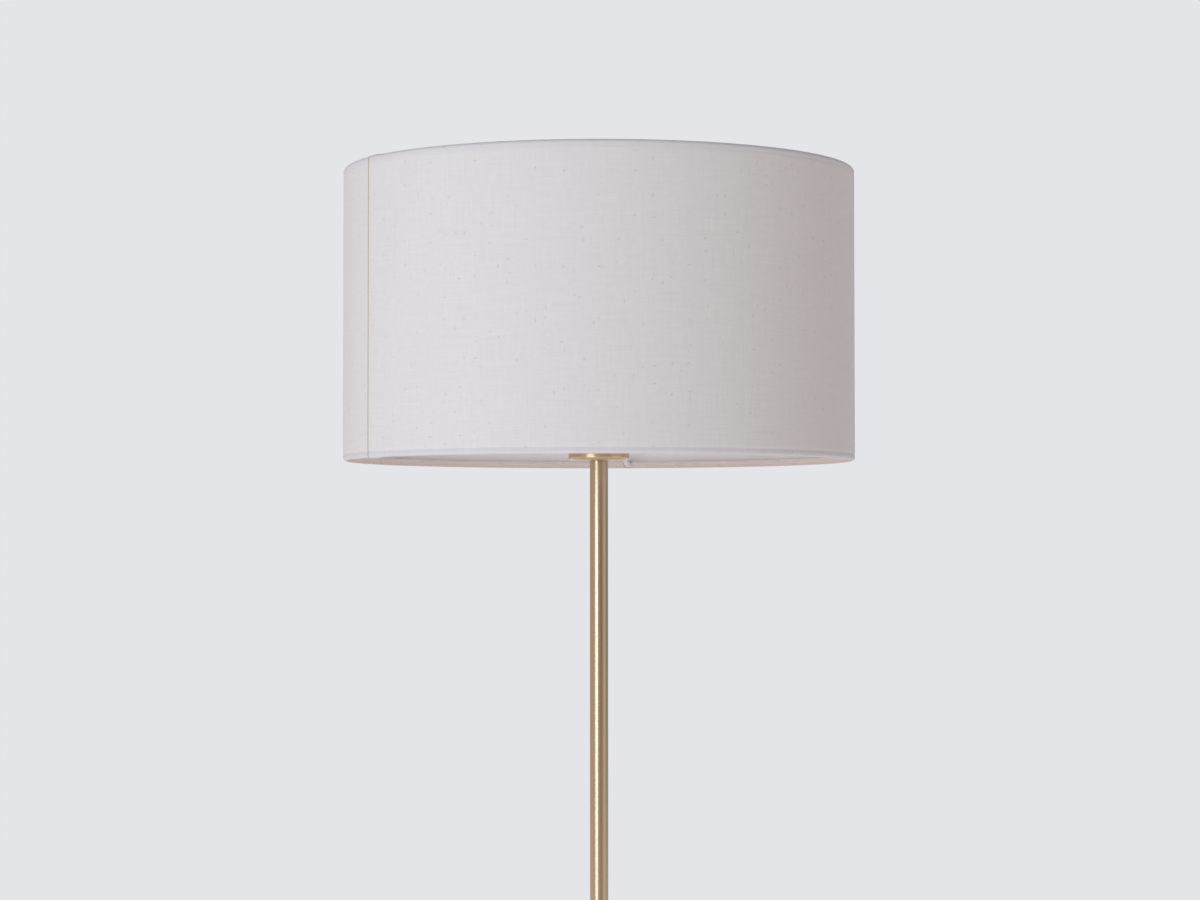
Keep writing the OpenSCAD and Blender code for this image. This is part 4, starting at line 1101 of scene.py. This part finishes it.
class LampCup(bpy.types.Operator):
    """Makes the shallow brass cup under the lampholder"""
    bl_idname = "column_lamp.cup"
    bl_label = "Cup"

    def execute(self, context):
        low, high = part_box("holder_cup")
        bore, sheet, edge = 5.4 * MM, 1 * MM, 3.5 * MM
        lip = context.scene.lamp_brass.edge
        outline = dish_outline(high.x, bore, high.z - low.z, sheet, edge, lip)
        place(turned("brass_cup", [(r, low.z + z) for r, z in outline], 160),
              "stand", "brushed_brass", "holder_cup")
        return {"FINISHED"}


# ---------------------------------------------------------------- lampholder


class LampHolder(bpy.types.Operator):
    """Makes the lampholder: cap, threaded skirt, screw shell and the ring that clamps the shade"""
    bl_idname = "column_lamp.holder"
    bl_label = "Lampholder"

    def execute(self, context):
        holder = context.scene.lamp_holder
        self.cap()
        self.skirt(holder)
        self.shell(context.scene.lamp_bulb)
        self.ring(holder)
        return {"FINISHED"}

    def cap(self):
        low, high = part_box("holder_cap")
        wide, wall, boss, tapped = high.x, 2 * MM, 8 * MM, 5.05 * MM
        neck, shoulder, ledge = low.z + 6 * MM, low.z + 12 * MM, low.z + 18 * MM
        funnel_r, funnel = 6.5 * MM, low.z + 8 * MM
        edge = 0.5 * MM
        outline = [
            (tapped, low.z), *arc((boss - edge, low.z + edge), edge, -90, 0, 4),
            # The cone runs into the boss and the side in short facets
            (boss, neck - 0.6 * MM), (boss + 0.5 * MM, neck + 0.3 * MM),
            (wide - 1.4 * MM, shoulder - 0.9 * MM), (wide - 0.35 * MM, shoulder + 0.2 * MM),
            (wide, shoulder + 1.2 * MM), (wide, high.z), (wide - wall, high.z),
            (wide - wall, ledge), (wide - 2 * wall, ledge), (wide - 2 * wall, shoulder + 1 * MM),
            (funnel_r, funnel), (tapped, funnel)]
        place(turned("holder_cap_shell", outline, 120), "stand", "white_thermoset", "holder_cap")

    def skirt(self, holder):
        low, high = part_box("holder_skirt")
        cap_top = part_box("holder_cap")[1].z
        insert_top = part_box("holder_insert")[1].z
        shoulder_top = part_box("spider_plate")[0].z
        shoulder, thread, bore, cap_bore, insert_r = high.x, 19.7 * MM, 17.7 * MM, 18.55 * MM, 14.1 * MM
        thread_start, thread_end = shoulder_top + 1.5 * MM, high.z - 0.4 * MM
        ledge = insert_top + 2 * MM
        grip_top = shoulder_top - 1.8 * MM
        notch_depth, edge = 0.6 * MM, 0.5 * MM

        def shape(r, z, angle):
            if z > shoulder_top and r > bore + 0.8 * MM:
                engaged = fade(z, thread_start - 1 * MM, thread_start + 1 * MM)
                root = 1 - helix_wave(z, angle, holder.thread_pitch)
                return r - holder.thread_depth * engaged * fade(root, 0.25, 0.75)
            if z < grip_top - 0.1 * MM and r > shoulder - 0.1 * MM:
                return r - notch_depth * notch(angle, holder.notches, 0.25)
            return r

        outline = [
            (cap_bore, low.z), (shoulder - edge, low.z), (shoulder, low.z + edge),
            (shoulder, grip_top - 0.4 * MM), (shoulder, grip_top),
            *arc((shoulder - edge, shoulder_top - edge), edge, 0, 90, 4), (thread, shoulder_top),
            *fine_line([(thread, shoulder_top + 0.1 * MM), (thread, thread_end)], 0.3 * MM),
            (thread - edge, high.z), (bore, high.z), (bore, ledge), (insert_r, ledge),
            (insert_r, insert_top), (bore, insert_top), (bore, cap_top), (cap_bore, cap_top)]
        place(turned("holder_threaded_skirt", outline, 144, shape, 50),
              "stand", "white_thermoset", "holder_skirt")

    def shell(self, bulb):
        """The shell's own thread is the bulb's, a running gap wider."""
        low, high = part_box("screw_shell")
        outer, wall, gap, hole = high.x, 0.45 * MM, 0.12 * MM, 8.1 * MM
        first = bulb_box()[0].z + 6 * MM
        floor = low.z + wall

        def shape(r, z, angle):
            if r < 10 * MM or z < low.z + 1 * MM:
                return r
            phase = helix_wave(z - first - bulb.pitch / 2, angle, bulb.pitch)
            return r - (bulb.depth - gap) * (1 - phase) * fade(z, first - 2 * MM, first)

        side = fine_line([(outer, floor), (outer, high.z)], 0.35 * MM)
        inside = fine_line([(outer - wall, high.z), (outer - wall, floor)], 0.35 * MM)
        outline = [(hole, low.z), (outer - wall, low.z), *side, *inside, (hole, floor)]
        place(turned("holder_screw_shell", outline, 96, shape, 50), "stand", "turned_brass", "screw_shell")

    def ring(self, holder):
        low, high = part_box("shade_ring")
        flange, bore, grip = high.x, 19.78 * MM, 24.1 * MM
        flange_top = low.z + 2.5 * MM
        notch_depth, edge = 0.9 * MM, 0.5 * MM

        def shape(r, z, angle):
            if z > flange_top + 0.3 * MM and r > grip - 1.2 * edge:
                return r - notch_depth * notch(angle, holder.notches, 0.45)
            return r

        outline = [
            (bore, low.z + edge), (bore + edge, low.z), (flange - edge, low.z),
            *arc((flange - edge, low.z + edge), edge, -90, 0, 3)[1:],
            *arc((flange - edge, flange_top - edge), edge, 0, 90, 3),
            (grip + 0.6 * MM, flange_top), (grip, flange_top + 0.5 * MM), (grip, high.z - edge),
            *arc((grip - edge, high.z - edge), edge, 0, 90, 3)[1:],
            (bore + edge, high.z), (bore, high.z - edge)]
        place(turned("shade_clamp_ring", outline, 192, shape, 50),
              "shade_ring", "white_thermoset", "shade_ring")


# ---------------------------------------------------------------- bulb


def bulb_box():
    """Lowest and highest corner of the bulb, from its tip to the top of its globe."""
    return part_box("bulb_tip")[0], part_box("bulb_globe")[1]


def filament_tree(material):
    """Leaning sticks round an axis, each swollen a little at every chip."""
    tree = new_tree("filament_sticks", {
        "Count": ("Int", 4), "First": ("Float", math.pi / 4), "Foot": ("Vector", None),
        "Head": ("Vector", None), "Radius": ("Float", 0.9 * MM), "Chips": ("Int", 26)})
    size = add(tree, "NodeGroupInput").outputs
    share = add(tree, "GeometryNodeSplineParameter").outputs["Factor"]
    chips = add(tree, "ShaderNodeMath", {0: share, 1: size["Chips"]}, operation="MULTIPLY")
    phase = add(tree, "ShaderNodeMath", {0: chips, 1: TURN}, operation="MULTIPLY")
    wave = add(tree, "ShaderNodeMath", {0: phase}, operation="SINE")
    swell = add(tree, "ShaderNodeMath", {0: wave, 1: 0.07, 2: 0.93}, operation="MULTIPLY_ADD")
    return fan(tree, size, bar(tree, size, 105, 14, swell), material)


class LampBulb(bpy.types.Operator):
    """Makes the bulb: glass globe, glass stem, filament sticks and the rolled screw cap"""
    bl_idname = "column_lamp.bulb"
    bl_label = "Bulb"

    def execute(self, context):
        bulb = context.scene.lamp_bulb
        tip, top = bulb_box()
        self.globe(bulb, tip.z, top)
        self.cap(bulb, tip.z)
        self.stem(tip.z)
        self.filaments(bulb, tip.z)
        return {"FINISHED"}

    def globe(self, bulb, tip, top):
        radius, middle = top.x, top.z - top.x
        start = -34                # degrees below the globe's equator where the neck joins it
        neck_r, neck_z = 11.6 * MM, tip + 17.4 * MM
        throat_r, rim = 13.4 * MM, tip + 26.4 * MM
        steps = 16

        def line(depth):
            r = radius - depth
            join_r, join_z = r * math.cos(math.radians(start)), middle + r * math.sin(math.radians(start))
            throat = throat_r - depth
            curve = [(throat, rim + 2.5 * MM), (throat, rim + 15 * MM),
                     (join_r - 7 * MM, join_z - 10 * MM), (join_r, join_z)]
            points = [(neck_r - depth, neck_z), (neck_r - depth, rim + 0.3 * MM + depth),
                      (neck_r + 0.9 * MM - depth, rim + 1.2 * MM + depth / 2)]
            for i in range(steps + 1):
                t = i / steps
                s = 1 - t
                weights = (s ** 3, 3 * s * s * t, 3 * s * t * t, t ** 3)
                points.append(tuple(sum(w * p[k] for w, p in zip(weights, curve)) for k in (0, 1)))
            points += arc((0, middle), r, start, 90, 44)[1:-1]
            return points + [(0, middle + r)]

        outline = line(0) + line(bulb.glass)[::-1]
        place(turned("glass_globe", outline, 128, smooth_angle=60), "bulb", "clear_glass", "bulb_globe")

    def cap(self, bulb, tip):
        crest, metal = 13.1 * MM, 0.45 * MM
        first, last = tip + 6 * MM, tip + 6 * MM + 4.5 * bulb.pitch
        rim = last + 4 * MM
        foot, foot_r = tip + 4.5 * MM, crest - bulb.depth - 0.8 * MM

        def shape(r, z, angle):
            if z < first - 0.3 * MM or z > last + 0.7 * MM:
                return r
            engaged = fade(z, first - 0.3 * MM, first + 2 * MM)
            engaged *= 1 - fade(z, last - 1 * MM, last + 0.7 * MM)
            root = 1 - helix_wave(z - first - bulb.pitch / 2, angle, bulb.pitch)
            return r - bulb.depth * (root * engaged + (1 - engaged) * fade(last - z, -1 * MM, 4 * MM))

        side = fine_line([(crest, first - 0.2 * MM), (crest, last + 0.9 * MM)], 0.3 * MM)
        inner = [(r - metal, z) for r, z in side[::-1]]
        outline = [
            (foot_r, foot), *side, (crest, rim - 0.3 * MM), (crest - 0.15 * MM, rim),
            (crest - metal, rim), *inner, (foot_r - metal / 2, foot)]
        place(turned("screw_cap", outline, 96, shape, 60), "bulb", "cap_aluminium", "bulb_cap")

    def stem(self, tip):
        flare_r, flare = 10.8 * MM, tip + 18.4 * MM
        end_r, top = 2.2 * MM, tip + 54 * MM
        outline = [
            (0, flare), (flare_r, flare), (flare_r, flare + 1 * MM), (6.6 * MM, flare + 2.6 * MM),
            (4.2 * MM, flare + 5.4 * MM), (3.2 * MM, flare + 9 * MM), (2.5 * MM, flare + 20 * MM),
            (end_r, top - end_r), *arc((0, top - end_r), end_r, 15, 75, 4), (0, top)]
        place(turned("glass_stem", outline, 64, smooth_angle=50), "bulb", "clear_glass", "bulb_stem")

    def filaments(self, bulb, tip):
        foot_r, head_r, length, foot = 9 * MM, 5 * MM, 38 * MM, 42 * MM
        rise = math.sqrt(length ** 2 - (foot_r - head_r) ** 2)
        sticks = grow("filament_sticks", filament_tree(finish("phosphor")), {
            "Foot": (foot_r, 0, tip + foot), "Head": (head_r, 0, tip + foot + rise),
            "Chips": bulb.chips})
        place(sticks, "bulb", "phosphor", "bulb_filaments")


# ---------------------------------------------------------------- base


def screw_tree(material):
    """Slotted pan-head screws on a circle, heads down, each turned by its own angle."""
    tree = new_tree("ring_of_screws", {
        "Screw": ("Object", None), "Count": ("Int", 3), "Circle": ("Float", 51 * MM),
        "First": ("Float", 1.5 * math.pi), "Height": ("Float", 0.0), "Seed": ("Int", 7)})
    size = add(tree, "NodeGroupInput").outputs
    angle = equal_turns(tree, size)
    waves = [add(tree, "ShaderNodeMath", {0: angle}, operation=wave) for wave in ("COSINE", "SINE")]
    x, y = [add(tree, "ShaderNodeMath", {0: wave, 1: size["Circle"]}, operation="MULTIPLY")
            for wave in waves]
    spot = add(tree, "ShaderNodeCombineXYZ", {"X": x, "Y": y, "Z": size["Height"]})
    source = add(tree, "GeometryNodeObjectInfo", {"Object": size["Screw"]})
    lie = add(tree, "FunctionNodeRandomValue", {
        "Min": 0.0, "Max": math.pi, "ID": add(tree, "GeometryNodeInputIndex"), "Seed": size["Seed"]},
        data_type="FLOAT")
    screws = copies(tree, size, source.outputs["Geometry"], spot, lie.outputs["Value"])
    return end_tree(tree, screws, material)


def slotted_screw(head_r, head_h, shank_r, length, pitch):
    """One screw, head down with its face at z = 0: domed head, sawn slot, threaded shank."""
    tip, thread_depth = 0.6 * MM, 0.28 * MM

    def shape(r, z, angle):
        if z > head_h + 0.5 * MM and r > shank_r - 0.01 * MM:
            return r - thread_depth * (1 - helix_wave(z, angle, pitch))
        return r

    dome = [(0, 0), (head_r * 0.5, 0.05 * MM), (head_r * 0.85, 0.3 * MM), (head_r, 0.8 * MM)]
    shank = fine_line([(shank_r, head_h), (shank_r, length - tip)], 0.12 * MM)
    outline = [*dome, (head_r, head_h), *shank, (shank_r - tip, length), (0, length)]
    screw = turned("one_screw", outline, 40, shape, 40)
    slot = bpy.data.meshes.new("slot")
    cutter = bmesh.new()
    bmesh.ops.create_cube(cutter, size=1.0, matrix=Matrix.Diagonal((3 * head_r, 0.8 * MM, 1.6 * MM, 1)))
    cutter.to_mesh(slot)
    cutter.free()
    cut(screw, new_object("slot", slot))
    return screw


class LampBase(bpy.types.Operator):
    """Makes the base: pressed brass cover, felt pad, the recess plate's screws and the grommet"""
    bl_idname = "column_lamp.base"
    bl_label = "Base"

    def execute(self, context):
        base = context.scene.lamp_base
        self.cover(base, context.scene.lamp_brass.edge)
        self.pad()
        self.screws(base)
        self.grommet()
        return {"FINISHED"}

    def cover(self, base, lip):
        low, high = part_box("base_cover")
        bore, inlet_r, reach = 5.3 * MM, 5.05 * MM, 6 * MM
        outline = dish_outline(high.x, bore, high.z - low.z, base.sheet, base.edge, lip)
        cover = turned("brass_base_cover", [(r, high.z - z) for r, z in outline], 240)
        inlet = turned("inlet", [(0, -reach), (inlet_r, -reach), (inlet_r, reach), (0, reach)], 48)
        lay_along_y(inlet, (0, high.x, middle_z("cord_grommet")), math.pi / 2)
        cut(cover, inlet)
        place(cover, "stand", "brushed_brass", "base_cover")

    def pad(self):
        low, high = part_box("felt_pad")
        outer, inner, soft, fluff_depth = high.x, 57 * MM, 0.7 * MM, 0.08 * MM
        side = [*arc((outer - soft, low.z + soft), soft, -90, 0, 4),
                *arc((outer - soft, high.z - soft), soft, 0, 90, 4)]
        hole = [*arc((inner + soft, high.z - soft), soft, 90, 180, 4),
                *arc((inner + soft, low.z + soft), soft, 180, 270, 4)]
        under = fine_line([hole[-1], side[0]], 4 * MM)[1:-1]

        def shape(r, z, angle):
            fluff = math.sin(angle * 97 + z * 9000) + math.sin(angle * 61.0 + 1.3)
            return r + fluff_depth * fluff if r > outer - soft or r < inner + soft else r

        pad = turned("felt_pad_ring", [*under, *side, *hole], 240, shape)
        place(pad, "stand", "felt", "felt_pad")

    def screws(self, base):
        low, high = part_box("recess_plate_screws")
        screw = slotted_screw(2.75 * MM, 1.8 * MM, 1.5 * MM, high.z - low.z, 0.5 * MM)
        screws = grow("recess_screws", screw_tree(finish("zinc_plate")), {
            "Screw": screw, "Count": base.screws, "Height": low.z})
        bpy.data.objects.remove(screw)
        place(screws, "stand", "zinc_plate", "recess_plate_screws")

    def grommet(self):
        low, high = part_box("cord_grommet")
        bore, neck, flange, edge = 3.3 * MM, 5 * MM, (high.x - low.x) / 2, 0.6 * MM
        # Lengths from its inner end: the two faces of the wall that it sits in, and its outer end
        wall_in, wall_out, length = 2 * MM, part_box("base_cover")[1].y - low.y, high.y - low.y
        outline = [
            *arc((bore + edge, edge), edge, 180, 270, 4), *arc((flange - edge, edge), edge, -90, 0, 4),
            (flange, wall_in), (neck, wall_in), (neck, wall_out), (flange, wall_out),
            *arc((flange - edge, length - edge), edge, 0, 90, 4),
            *arc((bore + edge, length - edge), edge, 90, 180, 4)]
        grommet = turned("rubber_grommet", outline, 64)
        lay_along_y(grommet, (0, low.y, middle_z("cord_grommet")), -math.pi / 2)
        place(grommet, "stand", "rubber", "cord_grommet")


# ---------------------------------------------------------------- fittings


class LampFittings(bpy.types.Operator):
    """Gives every construction node that still shows the finish of its material slot"""
    bl_idname = "column_lamp.fittings"
    bl_label = "Fittings"

    def execute(self, context):
        slots = {part["node"]: part["material_slot"] for part in frame["record"]["subparts"]}
        for name, node in frame["nodes"].items():
            node.data.materials.clear()
            node.data.materials.append(finish(slots[name]))
        return {"FINISHED"}


class LampPanel(bpy.types.Panel):
    """Settings and pieces of the column lamp"""
    bl_idname = "VIEW3D_PT_column_lamp"
    bl_label = "Column lamp"
    bl_space_type = "VIEW_3D"
    bl_region_type = "UI"
    bl_category = "Column lamp"

    def draw(self, context):
        for name in SETTINGS:
            box = self.layout.box()
            box.label(text=name.replace("_", " ").capitalize())
            group = getattr(context.scene, name)
            for key in group.__annotations__:
                box.prop(group, key)
        for operator in OPERATORS:
            self.layout.operator(operator.bl_idname)


SETTINGS = {
    "lamp_stage": LampStageSettings, "lamp_shade": LampShadeSettings,
    "lamp_brass": LampBrassSettings, "lamp_holder": LampHolderSettings,
    "lamp_bulb": LampBulbSettings, "lamp_base": LampBaseSettings,
}
OPERATORS = (LampStage, LampShadeCloth, LampShadeLiner, LampShadeFrame, LampColumn, LampCup,
             LampHolder, LampBulb, LampBase, LampFittings)


def register():
    for made in (*SETTINGS.values(), *OPERATORS, LampPanel):
        bpy.utils.register_class(made)
    for name, group in SETTINGS.items():
        setattr(bpy.types.Scene, name, bpy.props.PointerProperty(type=group))


def unregister():
    for name in SETTINGS:
        delattr(bpy.types.Scene, name)
    for made in reversed((*SETTINGS.values(), *OPERATORS, LampPanel)):
        bpy.utils.unregister_class(made)


def main():
    register()
    for operator in OPERATORS:
        group, name = operator.bl_idname.split(".")
        getattr(getattr(bpy.ops, group), name)()


if __name__ == "__main__":
    main()
